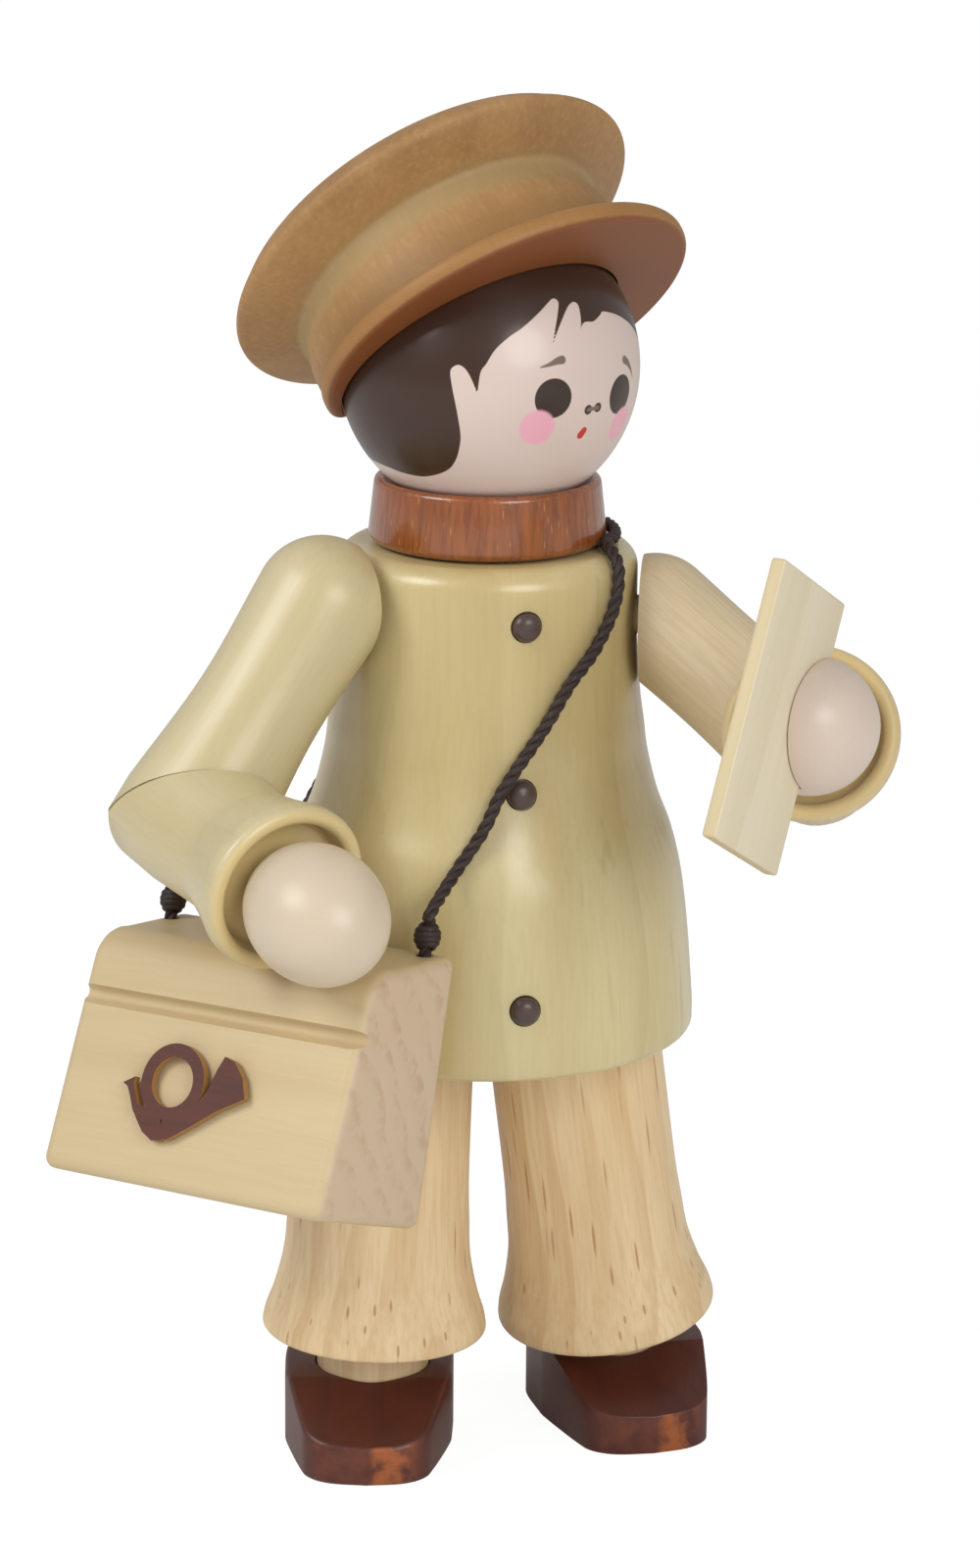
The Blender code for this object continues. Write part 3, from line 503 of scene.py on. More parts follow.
# %% Head ball
FACE_TURN = 29.0  # degrees the face looks to the figure's left
FACE_LOW = -4.0


def head_shape():
    shape = bmesh.new()
    bmesh.ops.create_uvsphere(shape, u_segments=256, v_segments=224, radius=HEAD_R * MM)
    return move(shape, frame_at(HEAD, toward(FACE_TURN, FACE_LOW)))


head = show("painted_head", head_shape(), "head", "head")

# %% [markdown]
# ## What the brush left on the head
# Paint has an outline but no thickness worth modelling. Each outline is
# stored on the ball as a distance to its edge, in millimetres: below zero
# inside and above zero outside. The finish later cuts that value at zero,
# which gives an edge far sharper than the mesh. The hairline is drawn as a
# closed loop round the neck, so the skin is what lies inside the loop.

# %% Painted outlines
HAIR_FAR = [(209, -37), (170, -36), (137.5, -35), (125, -40), (105, -38), (92, -31), (88, -22), (88, -12),
            (88, -5), (89, 1), (90, 7), (88.5, 9.4), (86.5, 10), (84, 8.5), (82, 4), (80, -2)]
HAIR_TEMPLE = [(80, -2), (76, 6), (72, 11.5), (67.5, 15.7), (60.7, 20), (52.1, 24), (43, 26.6), (40.1, 25.7),
               (34.6, 23.8), (30, 24.1), (27.6, 22.8), (24, 18.6)]
HAIR_LOCK = [(24, 18.6), (27.3, 23.6), (28.5, 27.6), (29, 30.8), (27.7, 32.2), (25.3, 31.9), (22.1, 29.8),
             (16.9, 24), (11.9, 16.3)]
HAIR_SWEEP = [(11.9, 16.3), (14.4, 22.6), (17.2, 28.6), (19, 32.8), (17.7, 34.5), (15.1, 33.8), (8.3, 29.2),
              (0.5, 23.9), (-5.2, 20.5), (-10.5, 16), (-14, 10.6), (-16, 7.6), (-17.1, -0.5)]
HAIR_EAR = [(-17.1, -0.5), (-19.1, 4.6), (-21.5, 8.5), (-24.1, 10.1), (-26.1, 9.5), (-27.4, 7.4),
            (-26.4, 1.3), (-25.2, -4.7), (-24.2, -10.9), (-23.7, -16.3), (-24.2, -20.9), (-26.2, -27.1),
            (-30, -32.3), (-36, -35.7), (-43.9, -38), (-50.4, -38.4), (-58.8, -38), (-67.8, -36.8),
            (-82.5, -36.3), (-115, -37), (-151, -37)]
EYES = [(11.9, -2.9), (46.9, -5.6)]
EYE_R = 0.92
NOSE = [(27.9, -8.8), (32.8, -8.5)]
NOSE_R, NOSE_LINE = 0.23, 0.1
MOUTH = [(26.2, -18.8), (27.4, -17.1)]
MOUTH_R = [0.2, 0.18]
BROW_RIGHT = [(6.4, 8.9), (10.8, 9.9), (13.6, 10.9), (15.7, 11.2)]
BROW_LEFT = [(57.1, -1.0), (54.8, 3.0), (52.5, 5.6), (49.9, 7.1)]
BROW_R = [0.03, 0.1, 0.16, 0.2]
CHEEKS = [(5.9, -13.9), (51.1, -18.1)]
CHEEK_R = 0.84


def on_ball(points):
    return np.array([tuple(toward(turn, up) * HEAD_R) for turn, up in points])


def stroke_distance(spots, line, widths):
    """How far each spot is from a brush stroke whose half-width changes along it, in mm."""
    nearest = np.full(len(spots), 1e9)
    if len(line) == 1:
        return np.linalg.norm(spots - line[0], axis=1) - widths[0]
    for start, end, wide, wider in zip(line, line[1:], widths, widths[1:]):
        along = end - start
        share = np.clip((spots - start) @ along / (along @ along), 0.0, 1.0)
        away = np.linalg.norm(spots - start - share[:, None] * along, axis=1)
        nearest = np.minimum(nearest, away - wide - (wider - wide) * share)
    return nearest


def inside_loop(spots, loop):
    """Whether each spot is inside a loop, on a map that is centred under the ball."""
    def flat(points):
        low = np.arccos(np.clip(-points[:, 2] / HEAD_R, -1.0, 1.0))
        turn = np.arctan2(points[:, 0], -points[:, 1])
        return np.stack((low * np.sin(turn), low * np.cos(turn)), axis=1)
    marks, line = flat(spots), flat(loop)
    inside = np.zeros(len(marks), bool)
    for (x0, y0), (x1, y1) in zip(line, np.roll(line, -1, axis=0)):
        crosses = (y0 > marks[:, 1]) != (y1 > marks[:, 1])
        inside ^= crosses & (marks[:, 0] < (x1 - x0) * (marks[:, 1] - y0) / (y1 - y0 + 1e-12) + x0)
    return inside


def paint(name, values):
    layer = head.data.attributes.new(name, "FLOAT", "POINT")
    layer.data.foreach_set("value", values.astype(np.float32))


def paint_strokes(name, strokes):
    """Store how far each spot is from the nearest of some strokes of (points, half-widths)."""
    paint(name, np.minimum.reduce([stroke_distance(head_spots, on_ball(points), widths)
                                   for points, widths in strokes]))


head_spots = np.array([tuple(vert.co / MM - HEAD) for vert in head.data.vertices])
hairline = []
for stroke in (HAIR_FAR, HAIR_TEMPLE, HAIR_LOCK, HAIR_SWEEP, HAIR_EAR):
    curve = smooth_line([(*spot, 0.0) for spot in stroke], 5)
    hairline += [(point.x, point.y) for point in curve[:-1]]  # each ends where the next begins
hair_loop = on_ball(hairline + hairline[:1])
hair_away = stroke_distance(head_spots, hair_loop, [0.0] * len(hair_loop))
paint("hair", np.where(inside_loop(head_spots, hair_loop), hair_away, -hair_away))
paint_strokes("ink", [([eye], [EYE_R]) for eye in EYES] + [([dot], [NOSE_R]) for dot in NOSE])
paint_strokes("brows", [(BROW_RIGHT, BROW_R), (BROW_LEFT, BROW_R), (NOSE, [NOSE_LINE] * 2)])
paint_strokes("lips", [(MOUTH, MOUTH_R)])
paint_strokes("blush", [([cheek], [CHEEK_R]) for cheek in CHEEKS])
print("the hairline has", len(hairline), "points")

# %% [markdown]
# ## Cap
# The crown and the brim are two turned pieces glued together. The crown has
# a wide top edge over a deep cove. Inside it is hollow, to sit on the ball.
# The brim is a round plate set forward on the head and cut off flat behind.

# %% Cap
CAP_TURN, CROWN_LEAN, BRIM_LEAN = 27.0, 47.5, 40.8
CAP_ASIDE, CROWN_FORWARD, BRIM_FORWARD, BRIM_BACK = 0.65, 0.33, 1.62, 4.9
CROWN_R, CROWN_TOP, CROWN_WIDE = 10.2, 10.0, 7.07
COVE_R, COVE_AT, BAND_R, BAND_LOW = 7.75, 5.1, 8.12, 0.7
BRIM_R, BRIM_LOW, BRIM_THICK, BRIM_EDGE = 9.17, 0.89, 0.95, 0.4
WASTE = 14.0  # reach of a block that only cuts


def cap_frame(lean):
    """A frame at the head's centre that is turned with the cap and leans back."""
    return Matrix.Translation(HEAD) @ rotated(CAP_TURN, "Z") @ rotated(-lean, "X")


crown_placing = cap_frame(CROWN_LEAN) @ Matrix.Translation((CAP_ASIDE, -CROWN_FORWARD, 0.0))
brim_placing = cap_frame(BRIM_LEAN) @ Matrix.Translation((CAP_ASIDE, -BRIM_FORWARD, 0.0))


def head_hollow():
    return move(turn_shape(arc(0.0, 0.0, HEAD_R + FIT, 90.0, -90.0, 96)), cap_frame(BRIM_LEAN))


def crown_shape():
    top, wide, r = CROWN_TOP, CROWN_WIDE, CROWN_R
    profile = [(0.0, top)] + smooth_profile([
        (1.6, top - 0.05), (4.6, top - 0.55), (7.2, top - 1.45), (r - 1.2, wide + 1.1),
        (r - 0.5, wide + 0.55), (r - 0.1, wide + 0.18), (r, wide - 0.1), (r - 0.15, wide - 0.35),
        (r - 0.45, wide - 0.55), (r - 0.95, wide - 0.85), (COVE_R + 0.55, wide - 1.35),
        (COVE_R, COVE_AT + 0.35), (COVE_R - 0.04, COVE_AT - 0.3), (COVE_R + 0.2, COVE_AT - 1.2),
        (BAND_R - 0.08, 2.5), (BAND_R, BAND_LOW)], 6)
    crown = move(turn_shape(profile + [(0.0, BAND_LOW)]), crown_placing)
    seat = block_shape((-WASTE, -WASTE, -WASTE), (WASTE, WASTE, BRIM_LOW + BRIM_THICK + FIT))
    return carve(crown, [move(seat, cap_frame(BRIM_LEAN)), head_hollow()])


def brim_shape():
    rim, middle = BRIM_R - BRIM_EDGE, BRIM_LOW + BRIM_THICK
    profile = [(0.0, middle)] + arc(rim, middle - BRIM_EDGE, BRIM_EDGE, 90.0, 0.0, 8)
    profile += arc(rim, BRIM_LOW + BRIM_EDGE, BRIM_EDGE, 0.0, -90.0, 8) + [(0.0, BRIM_LOW)]
    back = block_shape((-WASTE, BRIM_BACK, -WASTE), (WASTE, BRIM_BACK + WASTE, WASTE))
    return carve(move(turn_shape(profile), brim_placing), [head_hollow(), move(back, cap_frame(BRIM_LEAN))])


show("crown_of_cap", crown_shape(), "head", "cap_crown")
show("brim_of_cap", brim_shape(), "head", "cap_brim")

# %% [markdown]
# ## Arms
# Each arm is two tapering rods that meet at a mitre: both are sawn at half
# the bend and glued, and the outer corner is sanded round. The forearm ends
# in a cuff with a thick lip and a dish that the egg-shaped hand stands in.

# %% Arms
ELBOW = {"right": Vector((-14.78, -4.85, 33.27)), "left": Vector((13.6, -8.34, 35.47))}
HAND = {"right": Vector((-11.0, -14.7, 31.08)), "left": Vector((10.58, -17.77, 39.39))}
ARM_R = {"right": (3.12, 2.94, 3.44), "left": (2.87, 2.82, 3.11)}  # at shoulder, middle and elbow
ELBOW_ROUND = {"right": 3.9, "left": 3.6}
CUFF_R, CUFF_LIP, CUFF_MOUTH, CUFF_DEPTH, WRIST_R = 4.0, 0.42, 3.2, 1.2, 3.2
HAND_R, HAND_HALF, HAND_FLAT = 3.1, 3.75, 0.25
PEG_IN_ARM = 2.2


def elbow_end(side):
    """The ball shape left on the outer corner of the bend."""
    past = math.degrees(math.acos(ARM_R[side][2] / ELBOW_ROUND[side]))
    return arc(0.0, 0.0, ELBOW_ROUND[side], -past, -90.0, 16)


def upper_arm_shape(side, shoulder, elbow, mitre):
    long = (elbow - shoulder).length
    outward, _, skin = shoulder_of(side)
    top, middle, low = ARM_R[side]
    profile = arc(0.0, 0.0, top, 90.0, 0.0, 20)
    profile += smooth_profile([(top, 0.0), (middle, -long / 2), (low, -long)], 8)[1:]
    profile += [(r, z - long) for r, z in elbow_end(side)]
    shape = move(turn_shape(profile, ROUND_SMALL), frame_at(shoulder, shoulder - elbow))
    plane_off(shape, elbow, mitre)
    plane_off(shape, skin, -outward)
    bore = drill_shape(SHOULDER_BORE_R, skin - outward * 2.0, skin + outward * (PEG_IN_ARM + FIT))
    return carve(shape, [bore])


def sleeve_shape(side, elbow, hand, mitre):
    along = hand - elbow
    rim = along.length - HAND_HALF + HAND_FLAT - FIT + CUFF_DEPTH
    floor = rim - CUFF_DEPTH
    profile = [(0.0, floor), (CUFF_MOUTH - 0.45, floor)]
    profile += arc(CUFF_MOUTH - 0.45, floor + 0.35, 0.35, -80.0, -10.0, 6)
    profile += arc(CUFF_R - CUFF_LIP, rim - CUFF_LIP, CUFF_LIP, 150.0, 0.0, 14)
    profile += smooth_profile([
        (CUFF_R - 0.02, rim - 0.9), (CUFF_R - 0.28, rim - 1.7), (WRIST_R + 0.2, rim - 2.9),
        (WRIST_R, rim - 4.2), (ARM_R[side][2], 0.6)])
    profile += elbow_end(side)
    shape = move(turn_shape(profile, ROUND_SMALL), frame_at(elbow, along))
    return plane_off(shape, elbow + mitre * FIT, -mitre)


def hand_shape(elbow, hand):
    profile = [(HAND_R * cos(turn), HAND_HALF * sin(turn)) for turn in np.linspace(pi / 2, -pi / 2, 64)]
    shape = move(turn_shape(profile, ROUND_SMALL), frame_at(hand, hand - elbow))
    away = (elbow - hand).normalized()
    return plane_off(shape, hand + away * (HAND_HALF - HAND_FLAT), away)


# %% [markdown]
# ## Letter
# A thin slip of wood stands in a saw kerf in the left hand. Its frame is
# given by two directions, and the same frame cuts the kerf.

# %% Letter and kerf
LETTER_WIDE, LETTER_LONG, LETTER_THICK = 6.85, 12.55, 0.7
LETTER_ROUND, KERF_PLAY = 0.14, 0.06
letter_across = Vector((0.60, 0.65, -0.47)).normalized()
letter_up = Vector((0.33, 0.34, 0.88))
letter_up = (letter_up - letter_across * letter_up.dot(letter_across)).normalized()
letter_placing = Matrix((letter_across, letter_up, letter_across.cross(letter_up))).transposed().to_4x4()
letter_placing.translation = FOOT + Vector((8.01, -20.95, 40.67))
half = Vector((LETTER_WIDE, LETTER_LONG, LETTER_THICK)) / 2
show("letter_slip", move(soften(block_shape(-half, half), LETTER_ROUND), letter_placing), "left_arm",
     "letter")

# %% [markdown]
# ## Both arms
# The arms differ only in where their elbow and hand are, so one loop makes
# both. The axes are kept, because the grain of each finish follows them.

# %% Both arms
arm_axes = {}
for side in SIDES:
    shoulder = shoulder_of(side)[1]
    elbow, hand = FOOT + ELBOW[side], FOOT + HAND[side]
    arm_axes[side] = (frame_at(shoulder, shoulder - elbow), frame_at(elbow, hand - elbow),
                      frame_at(hand, hand - elbow))
    mitre = ((elbow - shoulder).normalized() + (hand - elbow).normalized()).normalized()
    show("upper_arm_" + side, upper_arm_shape(side, shoulder, elbow, mitre), side + "_arm",
         side + "_upper_arm")
    show("sleeve_" + side, sleeve_shape(side, elbow, hand, mitre), side + "_arm", side + "_sleeve")
    palm = hand_shape(elbow, hand)
    if side == "left":
        kerf = block_shape((-LETTER_WIDE, -LETTER_LONG, -LETTER_THICK / 2 - KERF_PLAY),
                           (LETTER_WIDE / 2 + KERF_PLAY, LETTER_LONG, LETTER_THICK / 2 + KERF_PLAY))
        palm = carve(palm, [move(kerf, letter_placing)])
    show("hand_" + side, palm, side + "_arm", side + "_hand")

# %% [markdown]
# ## Trouser legs
# Each leg is one turned piece: a straight rod let into the coat, a hem that
# flares at the foot, and a thinner ankle that stands in the shoe.

# %% Trouser legs
LEG_HEM_R = {"right": 5.4, "left": 5.31}
ANKLE_R = 2.7
ANKLE_LONG = {"right": 4.15, "left": 3.8}


def leg_shape(side, long):
    r, hem_r, ankle = LEG_R[side], LEG_HEM_R[side], -ANKLE_LONG[side]
    profile = [(0.0, long)] + arc(r - 0.2, long - 0.2, 0.2, 90.0, 0.0, 4)
    profile += smooth_profile([(r, long - 2.6), (r + 0.03, 8.0), (r + 0.14, 5.6), (r + 0.26, 3.8),
                               (hem_r - 0.5, 2.0), (hem_r - 0.13, 0.9), (hem_r, 0.3)], 8)
    profile += arc(hem_r - 0.2, 0.2, 0.2, 10.0, -90.0, 6)
    profile += [(ANKLE_R, 0.0)] + arc(ANKLE_R - 0.2, ankle + 0.2, 0.2, 0.0, -90.0, 4) + [(0.0, ankle)]
    return move(turn_shape(profile), leg_placings[side])


leg_placings = {}
for side in SIDES:
    hem, rise = FOOT + LEG_HEM[side], LEG_TOP[side] - LEG_HEM[side]
    leg_placings[side] = frame_at(hem, rise)
    show("trouser_" + side, leg_shape(side, rise.length + LEG_LET_IN), "figure", side + "_trouser_leg")

# %% [markdown]
# ## Shoes
# A shoe is sawn from a board: a blunt outline, then one flat cut that slopes
# down to the toe, and every edge broken. The ankle stands in a drilled hole.

# %% Shoes
SHOE_TURN = {"right": -13.0, "left": 1.0}
SHOE_TOE = {"right": 7.0, "left": 7.4}
SHOE_ASIDE = {"right": -0.05, "left": -0.2}
SHOE_LONG, SHOE_WIDE, SHOE_TOE_WIDE = 10.6, 8.1, 6.2
SHOE_HIGH, SHOE_TOE_HIGH, SHOE_ROUND = 3.75, 1.9, 0.4


def shoe_shape(side, placing, hem, rise):
    toe, heel = SHOE_TOE[side], SHOE_LONG - SHOE_TOE[side]
    wide, tip = SHOE_WIDE / 2, SHOE_TOE_WIDE / 2
    outline = smooth_profile([
        (-wide + 1.6, heel), (-wide + 0.5, heel - 0.45), (-wide, heel - 1.6), (-wide, -0.8),
        (-wide + 0.12, -2.0), (-tip - 0.15, -toe + 2.1), (-tip + 0.3, -toe + 0.95),
        (-tip + 1.35, -toe + 0.25), (0, -toe)], 5)
    outline += [(-x, y) for x, y in reversed(outline[:-1])]
    shape = board_shape(outline, 0.0, SHOE_HIGH)
    crease = -ANKLE_R + 0.2
    above = Vector((0.0, SHOE_TOE_HIGH - SHOE_HIGH, toe + crease)).normalized()
    plane_off(shape, (0.0, crease, SHOE_HIGH), above)
    bmesh.ops.dissolve_degenerate(shape, dist=1e-6, edges=shape.edges)
    soften(shape, SHOE_ROUND, 4, 15.0)
    socket = drill_shape(ANKLE_R + FIT, hem - rise * (ANKLE_LONG[side] + FIT), hem, 96)
    return carve(move(shape, placing), [socket])


shoe_placings = {}
for side in SIDES:
    hem = FOOT + LEG_HEM[side]
    rise = (LEG_TOP[side] - LEG_HEM[side]).normalized()
    ground = hem - rise * (hem.z / rise.z)
    spot = Matrix.Translation((ground.x + SHOE_ASIDE[side], ground.y, 0.0))
    shoe_placings[side] = spot @ rotated(SHOE_TURN[side], "Z")
    show("shoe_block_" + side, shoe_shape(side, shoe_placings[side], hem, rise), "figure",
         side + "_shoe")

# %% [markdown]
# ## Buttons
# Three small domes stand in shallow seats down the front.

# %% Buttons
BUTTON_HIGH = 0.75


def button_shape(which):
    r, high = BUTTON_R, BUTTON_HIGH
    profile = [(0.0, high)] + smooth_profile([
        (r * 0.2, high - 0.01), (r * 0.5, high - 0.05), (r * 0.8, high - 0.16), (r * 0.96, high - 0.3),
        (r, high - 0.42), (r, 0.1)], 5) + [(0.0, 0.1)]
    spot, facing = button_spot(which)
    return move(turn_shape(profile, 64), frame_at(spot - facing * (BUTTON_SEAT - FIT), facing))


for which in BUTTONS:
    show("button_dome_" + which, button_shape(which), "figure", "button_" + which)

# %% [markdown]
# ## Satchel
# The satchel is a block with a leaning front and a rounded top. One groove
# across the front stands for the edge of the flap.

# %% Satchel
SATCHEL_ROUND = 0.6
FLAP_LINE, GROOVE_WIDE, GROOVE_DEEP = 7.7, 0.95, 0.8
STRAP_HOLE_R, STRAP_HOLE_DEEP = 0.4, 1.6
front_lean = math.degrees(math.atan2(SATCHEL_DEEP - SATCHEL_DEEP_TOP, SATCHEL_HIGH))


def front_depth(height):
    return SATCHEL_DEEP - (SATCHEL_DEEP - SATCHEL_DEEP_TOP) * height / SATCHEL_HIGH


def satchel_shape():
    crown = SATCHEL_CROWN
    side_line = [(0.0, -SATCHEL_HEEL), (-SATCHEL_DEEP, 0.0)]
    side_line += [(-(SATCHEL_DEEP_TOP - crown) - y, z)
                  for y, z in arc(0.0, SATCHEL_HIGH - crown, crown, front_lean, 90.0, 16)]
    side_line += [(0.0, SATCHEL_BACK_HIGH)]
    shape = board_shape(side_line, -SATCHEL_WIDE / 2, SATCHEL_WIDE / 2)
    soften(shape, SATCHEL_ROUND, 5, 25.0)
    lay = Matrix(((0.0, 0.0, 1.0), (1.0, 0.0, 0.0), (0.0, 1.0, 0.0))).to_4x4()
    move(shape, satchel_placing @ lay)
    middle = FLAP_LINE + GROOVE_WIDE / 2
    depth = front_depth(middle)
    floor = arc(-depth + GROOVE_DEEP - 0.3, middle, 0.3, 60.0, -60.0, 8)
    lower = [(-depth - 0.6, middle - GROOVE_WIDE * 0.62), (-depth + 0.12, middle - GROOVE_WIDE * 0.5)]
    upper = [(-depth + 0.12, middle + GROOVE_WIDE * 0.5), (-depth - 0.6, middle + GROOVE_WIDE * 0.62)]
    groove = board_shape(lower + floor[::-1] + upper, -SATCHEL_WIDE, SATCHEL_WIDE)
    move(groove, satchel_placing @ lay)
    drills = [drill_shape(STRAP_HOLE_R, on_satchel(end, -STRAP_HOLE_DEEP), on_satchel(end, 1.5))
              for end in CORD_ENDS]
    return carve(shape, [groove] + drills)


show("satchel_block", satchel_shape(), "figure", "satchel")

# %% [markdown]
# ## Horn
# A plain coiled horn, the old sign of the post, is cut from a thin sheet
# and glued to the satchel's front. It is a ring, a bell and a mouthpiece,
# joined into one flat shape.

# %% Horn
HORN_THICK, HORN_RING_R, HORN_EYE_R = 0.35, 1.78, 1.16
HORN_ALONG, HORN_UP = -1.25, 4.85
HORN_BELL = [(-0.46, -2.77), (0.43, -2.58), (1.57, -1.81), (2.84, -0.91), (4.23, -0.16), (3.85, 0.77),
             (3.22, 1.41), (2.63, 1.56), (2.33, 0.84), (2.03, -0.16), (1.44, -0.99), (0.8, -1.4), (0.0, -1.6)]
HORN_MOUTH = [(-2.15, -0.05), (-2.78, -0.41), (-2.48, -0.55), (-2.23, -0.95), (-1.92, -1.53), (-1.6, -1.9),
              (-1.09, -2.45), (-0.46, -2.77), (0.0, -2.7), (-0.3, -1.6), (-1.0, -1.4), (-1.67, -1.28),
              (-1.9, -0.85), (-2.18, -0.35)]
horn_spot = Vector((HORN_ALONG, -front_depth(HORN_UP) - FIT / 2, HORN_UP))
horn_placing = satchel_placing @ Matrix.Translation(horn_spot) @ rotated(90.0 - front_lean, "X")


def horn_shape():
    ring = board_shape(arc(0.0, 0.0, HORN_RING_R, 0.0, 356.25, 95), 0.0, HORN_THICK)
    arms = [board_shape(outline, 0.0, HORN_THICK) for outline in (HORN_BELL, HORN_MOUTH)]
    shape = carve(ring, arms, "UNION")
    shape = carve(shape, [drill_shape(HORN_EYE_R, Vector((0, 0, -1)), Vector((0, 0, 1)), 96)])
    return move(shape, horn_placing)


show("coiled_horn", horn_shape(), "figure", "horn_ornament")

# %% [markdown]
# ## Knots
# The cord is knotted where it enters the satchel. A tight knot in a thin
# waxed cord is a small ball of turns, so each one is two strands wound
# round the cord in close loops.

# %% Knots
KNOT_R, KNOT_STRAND_R, KNOT_OFF, KNOT_LONG = 0.62, 0.2, 0.25, 1.25
KNOT_LOOPS, KNOT_STEPS = 2.2, 60
KNOT_IN = 0.16  # from the ends of the knot to the middle of its strands


def knot_lines(end):
    """Two strands wound about the strap where it enters the satchel."""
    strands = []
    for which in range(2):
        line = []
        for step in range(KNOT_STEPS + 1):
            share = step / KNOT_STEPS
            turn = 2 * pi * (KNOT_LOOPS * share + 0.5 * which)
            wide = KNOT_R + 0.02 - KNOT_STRAND_R * (1 + abs(2 * share - 1) ** 2.5)
            rise = KNOT_OFF + KNOT_IN + (KNOT_LONG - 2 * KNOT_IN) * share
            line.append(on_satchel(end, rise, (wide * cos(turn), wide * sin(turn))))
        strands.append(line)
    return strands


for end in CORD_ENDS:
    add_piece("knot_" + end, tube_mesh("knot_" + end, knot_lines(end), KNOT_STRAND_R, 3), "figure",
              "strap_knot_" + end)

# %% [markdown]
# ## How a finish is built
# A finish is a small graph of nodes. One function adds a node, sets what it
# is given, and links what comes from another node. The rest are named for
# what they do to a colour: a ramp turns a value into a share from 0 to 1, and
# a tint lays one colour over another by such a share.

# %% Nodes and colours


def colour(code):
    """A colour written as on a paint card, as the linear values the renderer adds up."""
    parts = [int(code[place:place + 2], 16) / 255 for place in (1, 3, 5)]
    return (*[part / 12.92 if part <= 0.04045 else ((part + 0.055) / 1.055) ** 2.4 for part in parts], 1.0)


class Finish:
    """A new material, or a world, while its nodes are added."""

    def __init__(self, name, kind="materials"):
        self.made = getattr(bpy.data, kind).new(name)
        self.made.use_nodes = True
        self.nodes = self.made.node_tree.nodes
        if "Principled BSDF" in self.nodes:
            self.nodes.remove(self.nodes["Principled BSDF"])

    def link(self, value, socket):
        self.made.node_tree.links.new(value, socket)

    def add(self, kind, settings, inputs):
        """Add a node. An input is a value, or a node or socket to link from."""
        node = self.nodes.new("ShaderNode" + kind)
        for name, value in settings.items():
            setattr(node, name, value)
        for name, value in inputs.items():
            if isinstance(value, bpy.types.Node):
                value = value.outputs[0]
            if isinstance(value, bpy.types.NodeSocket):
                self.link(value, node.inputs[name])
            else:
                node.inputs[name].default_value = value
        return node

    def end(self, shader):
        self.link(shader.outputs[0], self.nodes["Material Output"].inputs["Surface"])
        return self.made

    def surface(self, base, settings):
        return self.end(self.add("BsdfPrincipled", {}, {"Base Color": base, "IOR": 1.5, **settings}))

    def ramp(self, value, low, high, top=1.0):
        """A share that climbs from 0 at one value to the top at another."""
        ends = {"Value": value, "From Min": low, "From Max": high, "To Max": top}
        return self.add("MapRange", {"interpolation_type": "SMOOTHSTEP"}, ends)

    def times(self, one, other):
        return self.add("Math", {"operation": "MULTIPLY"}, {0: one, 1: other})

    def tint(self, share, under, over):
        mixed = self.add("Mix", {"data_type": "RGBA"}, {"Factor": share, 6: under, 7: colour(over)})
        return mixed.outputs[2]


print("linear value of a mid grey:", round(colour("#808080")[0], 3))

# %% [markdown]
# ## Wood
# Wood is a solid texture: it is computed in the block and cut by the
# surface, so a turned side, a sawn face and an end each show it differently.
# The pattern is laid out along each piece's own axis, with z along the
# grain, and its sizes are real millimetres. It has a slow change of tone,
# growth rings round a far-off pith, fine fibres, and in beech short dashes.

# %% Grain


class Grain(Finish):
    """A finish laid out in mm in its piece's own space, with z along the grain."""

    def __init__(self, name, placing):
        super().__init__(name)
        self.spot = self.add("TexCoord", {}, {})
        self.space = self.add("Mapping", {"vector_type": "TEXTURE"}, {
            "Vector": self.spot.outputs["Object"], "Location": placing.translation * MM,
            "Rotation": placing.to_euler(), "Scale": (MM, MM, MM)})

    def vector(self, operation, inputs):
        return self.add("VectorMath", {"operation": operation}, inputs)

    def facing(self, direction, low, high):
        """A share that grows as the surface looks along a direction, between two limits from -1 to 1."""
        look = self.vector("DOT_PRODUCT", {0: self.spot.outputs["Normal"], 1: direction})
        return self.ramp(look.outputs["Value"], low, high)

    def edges(self, axis, flat, edge):
        """Only the edge of a thin piece, and neither of its two faces."""
        return self.times(self.facing(axis, flat, edge), self.facing(axis, -flat, -edge))

    def axis(self, name):
        return self.add("SeparateXYZ", {}, {"Vector": self.space}).outputs[name]

    def scaled(self, across, along):
        """Coordinates that count in lengths of so many mm across and along the grain."""
        return self.vector("MULTIPLY", {0: self.space, 1: (1 / across, 1 / across, 1 / along)})

    def noise(self, across, along, seed, detail=3.0):
        return self.add("TexNoise", {"noise_dimensions": "4D"}, {
            "Vector": self.scaled(across, along), "W": seed, "Scale": 1.0, "Detail": detail,
            "Roughness": 0.55})

    def growth(self, ring, pith, seed):
        """Late-wood lines, a ring apart and never quite even."""
        sway = self.noise(6.0, 28.0, seed, 2.0).outputs["Color"]
        moved = self.vector("MULTIPLY_ADD", {0: sway, 1: (6.0, 6.0, 0.0), 2: (*pith, 0.0)})
        flat = self.vector("MULTIPLY_ADD", {0: self.space, 1: (1.0, 1.0, 0.0), 2: moved})
        away = self.vector("LENGTH", {0: flat}).outputs["Value"]
        year = self.add("Math", {"operation": "DIVIDE"}, {0: away, 1: ring})
        phase = self.add("Math", {"operation": "FRACT"}, {0: year})
        line = self.times(self.ramp(phase, 0.3, 0.9), self.ramp(phase, 1.0, 0.92))
        uneven = self.add("TexNoise", {"noise_dimensions": "1D"}, {"W": year, "Scale": 0.9, "Detail": 1.0})
        return self.times(line, uneven)


